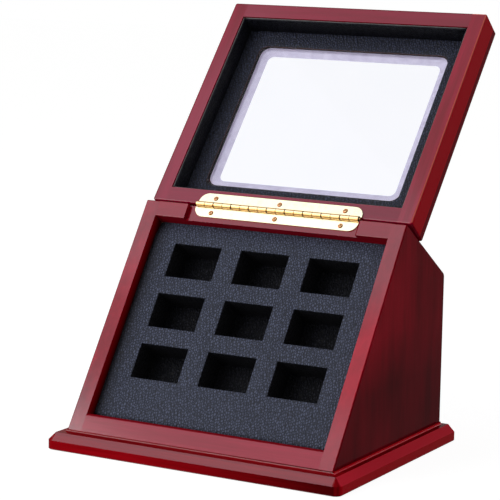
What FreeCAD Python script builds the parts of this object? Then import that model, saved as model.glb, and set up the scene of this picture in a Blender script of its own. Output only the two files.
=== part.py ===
# Slant-front display case for coins or rings, as a parametric FreeCAD document.
#
# A lacquered wooden case stands on a moulded plinth. Its sloping front is a frame of two side
# panels, a sill and a header round a tray with nine pockets. Behind the ridge the case slopes
# down to a vertical back. A lid frame with a bevelled window swings on a piano hinge at the
# ridge. The model has the lid open, leaning back against the rear slope.
#
# Millimetres. +X runs to the right along the front, +Y to the back and +Z up. The origin is the
# centre of the felt under the plinth.
#
# Slanted pieces are drawn in frames that share the X axis. The "face" frame lies on the sloping
# front with its origin at the foot. The "lid" frame lies on the open lid's inner face with its
# origin at the hinge end. The two "pin" frames lie along the front and along the lid with their
# origin on the hinge pin. In each of them the second coordinate, s, runs up the slope and the
# third, n, points out of the face. The "case" frame is level, with its origin at the foot.
import FreeCAD
import Part

import os
import re
from math import radians

import Sketcher
from FreeCAD import Placement, Rotation, Vector

# Driving sizes: name, value and what it measures.
SIZES = [
    ("case_width", "190.8", "across the two side panels"),
    ("face_angle", "56.1", "slope of the front above the floor, degrees"),
    ("face_length", "165.5", "front, from the foot to the ridge"),
    ("rear_length", "70.5", "rear slope, square to the front"),
    ("side_thickness", "10.15", "side panels, and so the stiles of the front"),
    ("sill_height", "13.1", "lower rail of the front"),
    ("sill_edge", "2.6", "rounded edge of that rail beside the tray"),
    ("header_height", "10.8", "upper rail of the front"),
    ("header_depth", "16", "upper rail, square to the face"),
    ("rear_thickness", "8", "rear slope panel"),
    ("back_thickness", "8", "back panel"),
    ("edge_radius", "0.8", "softened outer edges of the case"),
    ("rear_radius", "4", "corner between the rear slope and the back"),
    ("arris", "0.5", "softened small edges"),
    ("plinth_edge", "6", "vertical edge of the plinth"),
    ("plinth_chamfer", "4.6", "chamfer above that edge"),
    ("plinth_step", "1.4", "raised seat of the case on the plinth"),
    ("cove_radius", "1.2", "cove at the foot of that seat"),
    ("seat_margin", "0.4", "seat beyond the case"),
    ("side_overhang", "9.5", "plinth beyond the side panels"),
    ("front_overhang", "10.8", "plinth in front of the foot"),
    ("back_overhang", "2.5", "plinth behind the back"),
    ("plinth_corner", "5", "rounded front corners of the plinth"),
    ("felt_thickness", "1.2", "felt under the plinth"),
    ("felt_proud", "0.5", "felt below the plinth"),
    ("felt_margin", "5", "felt from the plinth's edge"),
    ("felt_gap", "0.3", "felt to the sides of its recess"),
    ("tray_drop", "6.8", "tray surface below the front"),
    ("tray_gap", "0.3", "tray to the wood round it"),
    ("cover_thickness", "0.8", "leatherette"),
    ("flange_thickness", "2.5", "foam over the ledges"),
    ("pocket_depth", "20", "from the tray surface to the pocket floors"),
    ("foam_margin", "8", "foam round the outer pockets"),
    ("board_thickness", "3", "board under the pockets"),
    ("pocket_width", "35", "each pocket, across"),
    ("pocket_height", "23.7", "each pocket, up the slope"),
    ("pocket_side", "17.45", "outer pockets from the tray's sides"),
    ("pocket_low", "29.95", "lower pockets from the tray's lower end"),
    ("pocket_high", "15.35", "upper pockets from the tray's upper end"),
    ("side_ledge", "7", "width of the tray ledges on the side panels"),
    ("rail_ledge", "5.5", "width of the tray ledges on the sill and the header"),
    ("ledge_depth", "5.5", "tray ledges, square to the face"),
    ("lid_width", "190.3", "across the lid"),
    ("lid_shift", "1.5", "middle of the lid and its hinge, to the right of the case's middle"),
    ("lid_short", "0.4", "lid short of the foot of the front"),
    ("lid_thickness", "21.2", "lid"),
    ("lid_edge", "1.5", "softened outer edges of the lid"),
    ("lid_side_edge", "1.2", "softened edges along the sides of the lid's inner face"),
    ("lid_panel", "5.7", "window panel of the lid"),
    ("side_rail", "10.4", "side rails of the lid"),
    ("front_rail", "11.5", "front rail of the lid"),
    ("hinge_rail", "10.8", "hinge rail of the lid"),
    ("window_side", "24.4", "window opening from the lid's sides"),
    ("window_front", "24.6", "window opening from the lid's front end"),
    ("window_hinge", "25.6", "window opening from the lid's hinge end"),
    ("window_radius", "7", "corners of the window opening"),
    ("window_lip", "3.7", "wood in front of the pane's flange"),
    ("pane_flange", "3", "flange of the pane behind the lip"),
    ("pane_gap", "0.2", "pane to the wood round it"),
    ("pane_set", "0.2", "pane below the outer face of the lid"),
    ("bevel_width", "5.4", "bevel round the pane"),
    ("bevel_radius", "4.5", "corners of the pane inside the bevel"),
    ("liner_thickness", "0.9", "liner over the window panel"),
    ("cut_side", "23.7", "cut in the liner from the lid's sides"),
    ("cut_front", "25", "cut in the liner from the lid's front end"),
    ("cut_hinge", "23.4", "cut in the liner from the lid's hinge end"),
    ("cut_radius", "6", "corners of the cut in the liner"),
    ("liner_wall", "1.6", "padded liner on the rails"),
    ("liner_drop", "1", "padded liner below the lid's inner face"),
    ("closing_gap", "0.3", "closed lid above the front"),
    ("stop_gap", "0.171", "open lid off the rear slope"),
    ("barrel_radius", "1.8", "hinge knuckles"),
    ("pin_radius", "0.95", "hinge pin"),
    ("pin_clearance", "0.05", "round the pin in the knuckles"),
    ("pin_out", "1.25", "pin beyond the ridge"),
    ("pin_end", "0.9", "pin beyond the knuckles at each end"),
    ("hinge_length", "118.8", "row of knuckles"),
    ("knuckle_pairs", "9", "knuckles on each leaf"),
    ("knuckle_gap", "0.1", "between the two knuckles of a pair"),
    ("pair_gap", "0.5", "between one pair of knuckles and the next"),
    ("seam_angle", "27", "end of the curl of a knuckle, degrees above its leaf"),
    ("leaf_width", "9.2", "edge of the lid's hinge leaf from the pin"),
    ("body_leaf_width", "8.5", "edge of the case's hinge leaf from the pin"),
    ("leaf_corner", "6.5", "rounded corners of the leaves"),
    ("leaf_clearance", "0.15", "leaf to the other leaf's knuckles"),
    ("leaf_stagger", "0.8", "each leaf beyond the knuckles at one end"),
    ("spare_left", "4.7", "hinge mortise beyond the body leaf, left"),
    ("spare_right", "1.0", "hinge mortise beyond the body leaf, right"),
    ("mortise_edge", "1.2", "rounded upper edge at the right end of that mortise"),
    ("screw_row", "5.5", "hinge screws from the pin"),
    ("screw_spread", "0.4", "pitch of the hinge screws, as a share of the row of knuckles"),
    ("screw_head", "1.65", "radius of the hinge screw heads"),
    ("screw_dome", "0.4", "hinge screw heads above the leaf"),
    ("screw_shank", "0.9", "radius of the hinge screw shanks"),
    ("screw_length", "8", "hinge screws in the wood"),
    ("recess_width", "0.5", "cross recess of the hinge screws"),
    ("recess_reach", "1.05", "arms of the cross recess, from the middle"),
    ("recess_depth", "0.6", "cross recess of the hinge screws"),
    ("hole_clearance", "0.05", "round screws and dowels"),
    ("hole_extra", "0.5", "hole beyond the end of a screw or dowel"),
    ("dowel_radius", "2", "dowels"),
    ("dowel_length", "15", "dowels, half in each piece"),
    ("sill_dowel_s", "7.6", "sill dowels above the foot, along the slope"),
    ("sill_dowel_n", "6", "sill dowels below the face"),
    ("rear_dowel", "40", "rear slope dowels below the face"),
    ("back_dowel", "20", "lower back dowels above the plinth"),
    ("back_dowel_pitch", "50", "between back dowels"),
    ("base_head", "3.5", "radius of the plinth screw heads"),
    ("base_shank", "1.75", "radius of the plinth screw shanks"),
    ("base_length", "26", "plinth screws"),
    ("base_front", "34", "front plinth screws behind the foot"),
    ("base_pitch", "88", "between plinth screws, front to back"),
]

# Sizes that follow from the ones above.
DERIVED = [
    ("half_inside", "case_width / 2 - side_thickness", "middle to a side panel's inner face"),
    ("ridge_y", "face_length * cos(face_angle)", "foot to ridge, level"),
    ("ridge_z", "face_length * sin(face_angle)", "foot to ridge, upright"),
    ("case_depth", "ridge_y + rear_length * sin(face_angle)", "foot to back"),
    ("rear_z", "ridge_z - rear_length * cos(face_angle)", "foot to the top of the back"),
    ("plinth_half", "case_width / 2 + side_overhang", "middle to the plinth's side"),
    ("plinth_depth", "front_overhang + case_depth + back_overhang", "plinth, front to back"),
    ("plinth_top", "plinth_edge + plinth_chamfer", "plinth under the seat"),
    ("plinth_height", "plinth_top + plinth_step", "plinth with its seat"),
    ("felt_recess", "felt_thickness - felt_proud", "recess of the felt"),
    ("foot_y", "front_overhang - plinth_depth / 2", "foot of the front"),
    ("foot_z", "felt_proud + plinth_height", "foot of the front"),
    ("joint_n", "((face_length - rear_thickness) * cos(face_angle) - case_depth + back_thickness)"
     " / sin(face_angle)", "inner corner of rear slope and back, square to the face"),
    ("joint_z", "(face_length - rear_thickness) * sin(face_angle) + joint_n * cos(face_angle)",
     "top of the back panel above the foot"),
    ("flange_top", "tray_drop + cover_thickness", "foam below the front"),
    ("ledge_top", "flange_top + flange_thickness", "ledges below the front"),
    ("floor_drop", "tray_drop + pocket_depth", "pocket floors below the front"),
    ("sleeve_width", "pocket_width + 2 * cover_thickness", "covered pocket, across"),
    ("sleeve_height", "pocket_height + 2 * cover_thickness", "covered pocket, up the slope"),
    ("tray_half", "half_inside - tray_gap", "middle to the tray's side"),
    ("tray_low", "sill_height + tray_gap", "lower end of the tray"),
    ("tray_high", "face_length - header_height - tray_gap", "upper end of the tray"),
    ("pocket_pitch_x", "tray_half - pocket_side - pocket_width / 2", "between pockets, across"),
    ("pocket_pitch_s", "(tray_high - tray_low - pocket_high - pocket_low - pocket_height) / 2",
     "between pockets, up the slope"),
    ("pocket_centre", "(tray_high + tray_low + pocket_low - pocket_high) / 2",
     "middle row above the foot, along the slope"),
    ("foam_half_x", "pocket_pitch_x + pocket_width / 2 + foam_margin", "middle to the foam's side"),
    ("foam_half_s", "pocket_pitch_s + pocket_height / 2 + foam_margin", "middle row to foam's end"),
    ("knuckle_pitch", "(hinge_length + pair_gap) / knuckle_pairs", "between knuckles of a leaf"),
    ("knuckle_width", "(knuckle_pitch - pair_gap - knuckle_gap) / 2", "each knuckle"),
    ("bore_radius", "pin_radius + pin_clearance", "hole through the knuckles"),
    ("leaf_thickness", "barrel_radius - bore_radius", "hinge leaves"),
    ("mortise_left", "hinge_length / 2 + leaf_stagger + spare_left - lid_shift", "hinge mortise"),
    ("mortise_right", "hinge_length / 2 + spare_right + lid_shift", "hinge mortise"),
    ("screw_pitch", "hinge_length * screw_spread", "between hinge screws"),
    ("pin_depth", "barrel_radius - closing_gap", "pin below the front"),
    ("mortise_depth", "pin_depth + barrel_radius", "hinge mortise"),
    ("pin_s", "face_length + pin_out", "pin above the foot, along the slope"),
    ("pin_y", "foot_y + pin_s * cos(face_angle) + pin_depth * sin(face_angle)", "pin"),
    ("pin_z", "foot_z + pin_s * sin(face_angle) - pin_depth * cos(face_angle)", "pin"),
    ("stop_s", "pin_out + lid_edge", "pin to the lid's resting edge, along the lid"),
    ("stop_n", "barrel_radius + lid_thickness - lid_edge", "pin to that edge, square to the lid"),
    ("lid_lean", "(acos((lid_edge - pin_out + stop_gap) / sqrt(stop_s^2 + stop_n^2))"
     " - atan2(stop_n; stop_s)) / 1deg", "open lid beyond the line of the front, degrees"),
    ("lid_angle", "face_angle - lid_lean", "slope of the open lid, degrees"),
    ("lid_y", "pin_y + pin_out * cos(lid_angle) + barrel_radius * sin(lid_angle)", "hinge end"),
    ("lid_z", "pin_z + pin_out * sin(lid_angle) - barrel_radius * cos(lid_angle)", "hinge end"),
    ("lid_half", "lid_width / 2", "middle to the lid's side"),
    ("lid_length", "face_length - lid_short", "lid, from the hinge end to the front end"),
    ("lid_inside", "lid_half - side_rail", "middle to a side rail's inner face"),
    ("lid_front", "lid_length - front_rail", "hinge end to the front rail"),
    ("rail_thickness", "lid_thickness - lid_panel", "lid rails, square to the lid"),
    ("liner_face", "rail_thickness - liner_thickness", "liner floor below the lid's inner face"),
    ("lip_depth", "lid_thickness - window_lip", "pane's flange below the lid's inner face"),
    ("base_x", "case_width / 2 - side_thickness / 2", "plinth screws from the middle"),
    ("base_reach", "base_length + felt_recess - plinth_height", "plinth screws in a side panel"),
    ("dowel_half", "dowel_length / 2", "dowel in each piece"),
]
NAMES = {name for name, value, note in SIZES + DERIVED}


def make_sheet(doc):
    """Write the sizes to a spreadsheet: plain numbers first, then the formulas."""
    sheet = doc.addObject("Spreadsheet::Sheet", "Sizes")
    for row, (name, number, note) in enumerate(SIZES + DERIVED, start=1):
        text = number if row <= len(SIZES) else "=" + number
        sheet.set(f"A{row}", name)
        sheet.set(f"B{row}", text)
        sheet.setAlias(f"B{row}", name)
        sheet.set(f"C{row}", note)
    doc.recompute()
    return sheet


doc = FreeCAD.newDocument("display_case")
sizes = make_sheet(doc)


def formula(text):
    """Point each size name in a formula at the sheet."""
    def swap(match):
        word = match.group()
        return "Sizes." + word if word in NAMES else word
    return re.sub(r"[a-z][a-z_]*", swap, text)


def number(text):
    """The number that a formula gives now."""
    return float(sizes.evalExpression(formula(text)))


def bind(thing, prop, text):
    thing.setExpression(prop, formula(text))


# Where a piece lies: the frame's origin and its tilt about X.
FRAMES = {
    "floor": ("0", "0", "0", None),
    "plinth": ("0", "0", "felt_proud", None),
    "case": ("0", "foot_y", "foot_z", None),
    "face": ("0", "foot_y", "foot_z", "face_angle"),
    "lid": ("lid_shift", "lid_y", "lid_z", "lid_angle"),
    "pin_face": ("lid_shift", "pin_y", "pin_z", "face_angle"),
    "pin_lid": ("lid_shift", "pin_y", "pin_z", "lid_angle"),
}
pieces = []


def new_body(name, frame):
    """An empty body that lies in one of the frames, tied to the sheet."""
    body = doc.addObject("PartDesign::Body", name)
    body.Label = name
    body.AllowCompound = True
    x, y, z, tilt = FRAMES[frame]
    angle = number(tilt) if tilt else 0
    origin = Vector(number(x), number(y), number(z))
    body.Placement = Placement(origin, Rotation(Vector(1, 0, 0), angle))
    bind(body, ".Placement.Base.x", x)
    bind(body, ".Placement.Base.y", y)
    bind(body, ".Placement.Base.z", z)
    if tilt:
        bind(body, ".Placement.Rotation.Angle", tilt)
    pieces.append(body)
    return body


def origin_part(body, role):
    return next(part for part in body.Origin.OriginFeatures if part.Role == role)


def new_sketch(body, plane, offset):
    """A sketch on one of the body's own planes, moved along that plane's normal."""
    sketch = body.newObject("Sketcher::SketchObject", body.Name + "_sketch")
    sketch.AttachmentSupport = (origin_part(body, plane + "_Plane"), [""])
    sketch.MapMode = "FlatFace"
    bind(sketch, "AttachmentOffset.Base.z", offset)
    return sketch


def hold(sketch, kind, text, *where):
    """A dimension that follows a formula."""
    index = sketch.addConstraint(Sketcher.Constraint(kind, *where, number(text)))
    bind(sketch, f"Constraints[{index}]", text)


def hold_point(sketch, edge, end, x, y):
    """Hold one end of an edge at two formulas from the sketch's origin."""
    hold(sketch, "DistanceX", x, -1, 1, edge, end)
    hold(sketch, "DistanceY", y, -1, 1, edge, end)


def join(sketch, edge, end, other, other_end):
    sketch.addConstraint(Sketcher.Constraint("Coincident", edge, end, other, other_end))


def add_loop(sketch, corners):
    """A closed loop of straight lines through corners given as pairs of formulas."""
    points = [Vector(number(x), number(y), 0) for x, y in corners]
    first = sketch.GeometryCount
    count = len(points)
    for i in range(count):
        sketch.addGeometry(Part.LineSegment(points[i], points[(i + 1) % count]))
    for i, (x, y) in enumerate(corners):
        join(sketch, first + i, 2, first + (i + 1) % count, 1)
        hold_point(sketch, first + i, 1, x, y)


def add_rectangle(sketch, left, right, low, high):
    add_loop(sketch, [(left, low), (right, low), (right, high), (left, high)])


def add_circle(sketch, x, y, radius):
    circle = Part.Circle(Vector(number(x), number(y), 0), Vector(0, 0, 1), number(radius))
    edge = sketch.addGeometry(circle)
    hold(sketch, "Radius", radius, edge)
    hold_point(sketch, edge, 3, x, y)


def add_arc(sketch, x, y, radius, start, end):
    """An arc about a point, from one angle to the other, in degrees."""
    circle = Part.Circle(Vector(number(x), number(y), 0), Vector(0, 0, 1), number(radius))
    return sketch.addGeometry(Part.ArcOfCircle(circle, radians(start), radians(end)))


def add_rounded(sketch, left, right, low, high, radius):
    """A rectangle with rounded corners."""
    first = sketch.GeometryCount
    corners = [(left, "+", low, "+", 180), (right, "-", low, "+", 270),
               (right, "-", high, "-", 0), (left, "+", high, "-", 90)]
    for x, x_sign, y, y_sign, start in corners:
        centre = (f"({x}) {x_sign} {radius}", f"({y}) {y_sign} {radius}")
        arc = add_arc(sketch, *centre, radius, start, start + 90)
        hold(sketch, "Radius", radius, arc)
        hold_point(sketch, arc, 3, *centre)
        level = start in (0, 180)
        sketch.addConstraint(Sketcher.Constraint("Horizontal" if level else "Vertical", arc, 3, arc, 1))
        sketch.addConstraint(Sketcher.Constraint("Vertical" if level else "Horizontal", arc, 3, arc, 2))
    for i in range(4):
        after = first + (i + 1) % 4
        line = Part.LineSegment(sketch.getPoint(first + i, 2), sketch.getPoint(after, 1))
        edge = sketch.addGeometry(line)
        join(sketch, edge, 1, first + i, 2)
        join(sketch, edge, 2, after, 1)


def pad(body, sketch, length, backwards=False):
    feature = body.newObject("PartDesign::Pad", body.Name + "_pad")
    feature.Profile = sketch
    feature.Reversed = backwards
    bind(feature, "Length", length)
    doc.recompute()
    return feature


def cut(body, sketch, length, backwards=False):
    """Cut a sketch into the body, and make sure that it cuts."""
    before = body.Shape.Volume
    feature = body.newObject("PartDesign::Pocket", body.Name + "_cut")
    feature.Profile = sketch
    feature.Reversed = backwards
    bind(feature, "Length", length)
    doc.recompute()
    if body.Shape.Volume >= before:
        raise RuntimeError(body.Name + ": a cut removes nothing")
    return feature


def near(a, text):
    return abs(a - number(text)) < 0.01


def lies(edge, **planes):
    """Whether both ends of an edge lie on planes given as x, y or z formulas."""
    return all(near(getattr(vertex.Point, axis), text)
               for axis, text in planes.items() for vertex in edge.Vertexes)


def is_hole(edge, z, radius):
    """Whether an edge is a circle of one radius at one height."""
    curve = edge.Curve
    return curve.TypeId == "Part::GeomCircle" and near(curve.Radius, radius) and lies(edge, z=z)


def dress(body, kind, size, test):
    """A fillet or a chamfer on the edges that pass a test."""
    base = body.Tip
    edges = [f"Edge{i}" for i, edge in enumerate(base.Shape.Edges, start=1) if test(edge)]
    if not edges:
        raise RuntimeError(body.Name + ": no edge for a " + kind)
    feature = body.newObject("PartDesign::" + kind, body.Name + "_" + kind.lower())
    feature.Base = (base, edges)
    bind(feature, {"Fillet": "Radius", "Chamfer": "Size"}[kind], size)
    doc.recompute()
    return feature


def drill(body, plane, offset, points, radius, depth, backwards=False):
    """Round holes from a plane into the body, at points given as pairs of formulas."""
    sketch = new_sketch(body, plane, offset)
    for x, y in points:
        add_circle(sketch, x, y, f"{radius} + hole_clearance")
    return cut(body, sketch, f"{depth} + hole_extra", backwards)


def slab(name, frame, left, right, low, high, top, thickness):
    """A rectangular piece that hangs down from one height of its frame."""
    body = new_body(name, frame)
    sketch = new_sketch(body, "XY", top)
    add_rectangle(sketch, left, right, low, high)
    pad(body, sketch, thickness, backwards=True)
    return body


def bar(name, frame, corners, left, length):
    """A piece with one outline all along X."""
    body = new_body(name, frame)
    sketch = new_sketch(body, "YZ", left)
    add_loop(sketch, corners)
    pad(body, sketch, length)
    return body


def turned(body, x, y, z, profile):
    """A turned piece about an upright axis, from a profile of radius and height."""
    sketch = new_sketch(body, "XZ", f"-({y})")
    bind(sketch, "AttachmentOffset.Base.x", x)
    bind(sketch, "AttachmentOffset.Base.y", z)
    add_loop(sketch, profile)
    feature = body.newObject("PartDesign::Revolution", body.Name + "_turn")
    feature.Profile = sketch
    feature.ReferenceAxis = (sketch, ["V_Axis"])
    feature.Angle = 360
    doc.recompute()
    return feature


def level(s, n):
    """A point of the face frame, as level and upright distances from the foot."""
    return (f"({s}) * cos(face_angle) - ({n}) * sin(face_angle)",
            f"({s}) * sin(face_angle) + ({n}) * cos(face_angle)")


# ---- Felt and plinth

slab("base_felt", "floor", "-plinth_half + felt_margin", "plinth_half - felt_margin",
     "-plinth_depth / 2 + felt_margin", "plinth_depth / 2 - felt_margin",
     "felt_thickness", "felt_thickness")

plinth = slab("plinth_board", "plinth", "-plinth_half", "plinth_half",
              "-plinth_depth / 2", "plinth_depth / 2", "plinth_top", "plinth_top")
dress(plinth, "Fillet", "plinth_corner",
      lambda edge: lies(edge, x="-plinth_half", y="-plinth_depth / 2")
      or lies(edge, x="plinth_half", y="-plinth_depth / 2"))
dress(plinth, "Chamfer", "plinth_chamfer",
      lambda edge: lies(edge, z="plinth_top") and not lies(edge, y="plinth_depth / 2"))
dress(plinth, "Chamfer", "arris", lambda edge: lies(edge, z="0"))

seat = new_sketch(plinth, "XY", "plinth_top")
add_rectangle(seat, "-case_width / 2 - seat_margin", "case_width / 2 + seat_margin",
              "foot_y - seat_margin", "foot_y + case_depth + seat_margin")
pad(plinth, seat, "plinth_step")
dress(plinth, "Fillet", "cove_radius",
      lambda edge: lies(edge, z="plinth_top") and
      (lies(edge, x="-case_width / 2 - seat_margin") or lies(edge, x="case_width / 2 + seat_margin")
       or lies(edge, y="foot_y - seat_margin")))

recess = new_sketch(plinth, "XY", "0")
add_rectangle(recess, "-plinth_half + felt_margin - felt_gap", "plinth_half - felt_margin + felt_gap",
              "-plinth_depth / 2 + felt_margin - felt_gap",
              "plinth_depth / 2 - felt_margin + felt_gap")
cut(plinth, recess, "felt_recess", backwards=True)

base_spots = [(x, y) for x in ("-base_x", "base_x")
              for y in ("foot_y + base_front", "foot_y + base_front + base_pitch")]
drill(plinth, "XY", "felt_recess", base_spots, "base_shank", "plinth_height", backwards=True)
dress(plinth, "Chamfer", "base_head - base_shank",
      lambda edge: is_hole(edge, "felt_recess", "base_shank + hole_clearance"))

base_screws = new_body("plinth_screws", "plinth")
for x, y in base_spots:
    turned(base_screws, x, y, "felt_recess",
           [("0", "0"), ("base_head", "0"), ("base_shank", "base_head - base_shank"),
            ("base_shank", "base_length - base_shank"), ("0", "base_length")])

# ---- Case

header_dowel = ("face_length - header_height / 2", "-header_depth / 2")
sill_dowel = ("sill_dowel_s", "-sill_dowel_n")
rear_dowel = ("face_length - rear_thickness / 2", "-rear_dowel")
back_dowels = [("case_depth - back_thickness / 2", "back_dowel"),
               ("case_depth - back_thickness / 2", "back_dowel + back_dowel_pitch")]
case_dowels = [level(*header_dowel), level(*sill_dowel), level(*rear_dowel)] + back_dowels


def side_panel(name, outer, inner, left, outwards):
    """An end panel with its outer edges softened, holes for dowels and for plinth screws."""
    body = bar(name, "case", [("0", "0"), ("ridge_y", "ridge_z"), ("case_depth", "rear_z"),
                              ("case_depth", "0")], left, "side_thickness")
    dress(body, "Fillet", "rear_radius", lambda edge: lies(edge, y="case_depth", z="rear_z"))
    dress(body, "Fillet", "edge_radius",
          lambda edge: lies(edge, y="ridge_y", z="ridge_z")
          or (lies(edge, x=outer) and not lies(edge, z="0")))
    drill(body, "YZ", inner, case_dowels, "dowel_radius", "dowel_half", backwards=outwards)
    middle = f"({outer} + {inner}) / 2"
    drill(body, "XY", "0", [(middle, "base_front"), (middle, "base_front + base_pitch")],
          "base_shank", "base_reach", backwards=True)


side_panel("left_side_panel", "-case_width / 2", "-half_inside", "-case_width / 2", False)
side_panel("right_side_panel", "case_width / 2", "half_inside", "half_inside", True)

dowels = new_body("frame_dowels", "case")
for middle in ("-half_inside", "half_inside"):
    ends = new_sketch(dowels, "YZ", f"{middle} - dowel_half")
    for y, z in case_dowels:
        add_circle(ends, y, z, "dowel_radius")
    pad(dowels, ends, "dowel_length")


def dowel_ends(body, half, spots):
    """Dowel holes in both ends of a piece that runs across."""
    drill(body, "YZ", f"-{half}", spots, "dowel_radius", "dowel_half", backwards=True)
    drill(body, "YZ", half, spots, "dowel_radius", "dowel_half")


sill = bar("front_sill", "face", [("0", "0"), ("sill_height", "0"),
                                  ("sill_height", "-sill_height * tan(face_angle)")],
           "-half_inside", "2 * half_inside")
dress(sill, "Fillet", "sill_edge", lambda edge: lies(edge, y="sill_height", z="0"))
dowel_ends(sill, "half_inside", [sill_dowel])

header = slab("front_header", "face", "-half_inside", "half_inside",
              "face_length - header_height", "face_length", "0", "header_depth")
dress(header, "Fillet", "edge_radius", lambda edge: lies(edge, y="face_length", z="0"))
mortise = new_sketch(header, "XY", "0")
add_rectangle(mortise, "-mortise_left", "mortise_right", "face_length - 2 * header_height",
              "face_length + header_height")
cut(header, mortise, "mortise_depth")
dress(header, "Fillet", "mortise_edge", lambda edge: lies(edge, x="mortise_right", z="0"))
dress(header, "Fillet", "arris",
      lambda edge: lies(edge, y="face_length - header_height", z="0"))
dowel_ends(header, "half_inside", [header_dowel])
screw_spots = ["-screw_pitch", "0", "screw_pitch"]
drill(header, "XY", "-mortise_depth", [(f"lid_shift + {x}", "pin_s - screw_row") for x in screw_spots],
      "screw_shank", "screw_length")

rear = bar("rear_slope_panel", "face",
           [("face_length - rear_thickness", "-header_depth"), ("face_length", "-header_depth"),
            ("face_length", "-rear_length"),
            ("case_depth * cos(face_angle) + joint_z * sin(face_angle)",
             "joint_z * cos(face_angle) - case_depth * sin(face_angle)"),
            ("face_length - rear_thickness", "joint_n")],
           "-half_inside", "2 * half_inside")
dress(rear, "Fillet", "rear_radius", lambda edge: lies(edge, y="face_length", z="-rear_length"))
dowel_ends(rear, "half_inside", [rear_dowel])

back = bar("back_panel", "case",
           [("case_depth - back_thickness", "0"), ("case_depth", "0"), ("case_depth", "joint_z"),
            ("case_depth - back_thickness", "joint_z")], "-half_inside", "2 * half_inside")
dowel_ends(back, "half_inside", back_dowels)

# ---- Tray

slab("left_tray_ledge", "face", "-half_inside", "side_ledge - half_inside",
     "sill_height", "face_length - header_height", "-ledge_top", "ledge_depth")
slab("right_tray_ledge", "face", "half_inside - side_ledge", "half_inside",
     "sill_height", "face_length - header_height", "-ledge_top", "ledge_depth")
slab("lower_tray_ledge", "face", "side_ledge - half_inside", "half_inside - side_ledge",
     "sill_height", "sill_height + rail_ledge", "-ledge_top", "ledge_depth")
slab("upper_tray_ledge", "face", "side_ledge - half_inside", "half_inside - side_ledge",
     "face_length - header_height - rail_ledge", "face_length - header_height",
     "-ledge_top", "ledge_depth")


def add_pockets(sketch, width, height):
    """The outlines of the nine pockets, at one width and height."""
    for column in ("-pocket_pitch_x", "0", "pocket_pitch_x"):
        for row in ("-pocket_pitch_s", "0", "pocket_pitch_s"):
            add_rectangle(sketch, f"{column} - {width} / 2", f"{column} + {width} / 2",
                          f"pocket_centre + {row} - {height} / 2",
                          f"pocket_centre + {row} + {height} / 2")


foam = slab("tray_foam", "face", "-tray_half", "tray_half", "tray_low", "tray_high",
            "-flange_top", "flange_thickness")
block = new_sketch(foam, "XY", "-flange_top")
add_rectangle(block, "-foam_half_x", "foam_half_x", "pocket_centre - foam_half_s",
              "pocket_centre + foam_half_s")
pad(foam, block, "floor_drop - flange_top", backwards=True)
holes = new_sketch(foam, "XY", "-flange_top")
add_pockets(holes, "sleeve_width", "sleeve_height")
cut(foam, holes, "pocket_depth")

cover = slab("tray_cover", "face", "-tray_half", "tray_half", "tray_low", "tray_high",
             "-tray_drop", "cover_thickness")
sleeves = new_sketch(cover, "XY", "-tray_drop")
add_pockets(sleeves, "sleeve_width", "sleeve_height")
pad(cover, sleeves, "pocket_depth", backwards=True)
mouths = new_sketch(cover, "XY", "-tray_drop")
add_pockets(mouths, "pocket_width", "pocket_height")
cut(cover, mouths, "pocket_depth")

slab("pocket_lining", "face", "-foam_half_x", "foam_half_x", "pocket_centre - foam_half_s",
     "pocket_centre + foam_half_s", "-floor_drop", "cover_thickness")
slab("tray_back_board", "face", "-foam_half_x", "foam_half_x", "pocket_centre - foam_half_s",
     "pocket_centre + foam_half_s", "-floor_drop - cover_thickness", "board_thickness")

# ---- Hinge


def add_curl(sketch, side):
    """The outline of a knuckle curled from its leaf, which lies at side -1 or 1 of the pin."""
    root = f"{side} * (barrel_radius + leaf_clearance)"
    seam = number("seam_angle")
    start, end = (-seam, 270) if side > 0 else (-90, 180 + seam)
    foot, tip = (2, 1) if side > 0 else (1, 2)
    arcs = []
    for radius in ("barrel_radius", "bore_radius"):
        arc = add_arc(sketch, "0", "0", radius, start, end)
        hold(sketch, "Radius", radius, arc)
        hold_point(sketch, arc, 3, "0", "0")
        hold(sketch, "DistanceY", f"-{radius} * sin(seam_angle)", -1, 1, arc, tip)
        sketch.addConstraint(Sketcher.Constraint("Vertical", arc, 3, arc, foot))
        arcs.append(arc)
    outer, inner = arcs
    upper = Vector(number(root), -number("bore_radius"), 0)
    lower = Vector(number(root), -number("barrel_radius"), 0)
    corners = [sketch.getPoint(inner, foot), upper, lower, sketch.getPoint(outer, foot)]
    lines = [sketch.addGeometry(Part.LineSegment(a, b)) for a, b in zip(corners, corners[1:])]
    ending = Part.LineSegment(sketch.getPoint(outer, tip), sketch.getPoint(inner, tip))
    ending = sketch.addGeometry(ending)
    join(sketch, ending, 1, outer, tip)
    join(sketch, ending, 2, inner, tip)
    join(sketch, lines[0], 1, inner, foot)
    hold_point(sketch, lines[0], 2, root, "-bore_radius")
    join(sketch, lines[1], 1, lines[0], 2)
    join(sketch, lines[1], 2, lines[2], 1)
    hold_point(sketch, lines[2], 1, root, "-barrel_radius")
    join(sketch, lines[2], 2, outer, foot)


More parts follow.
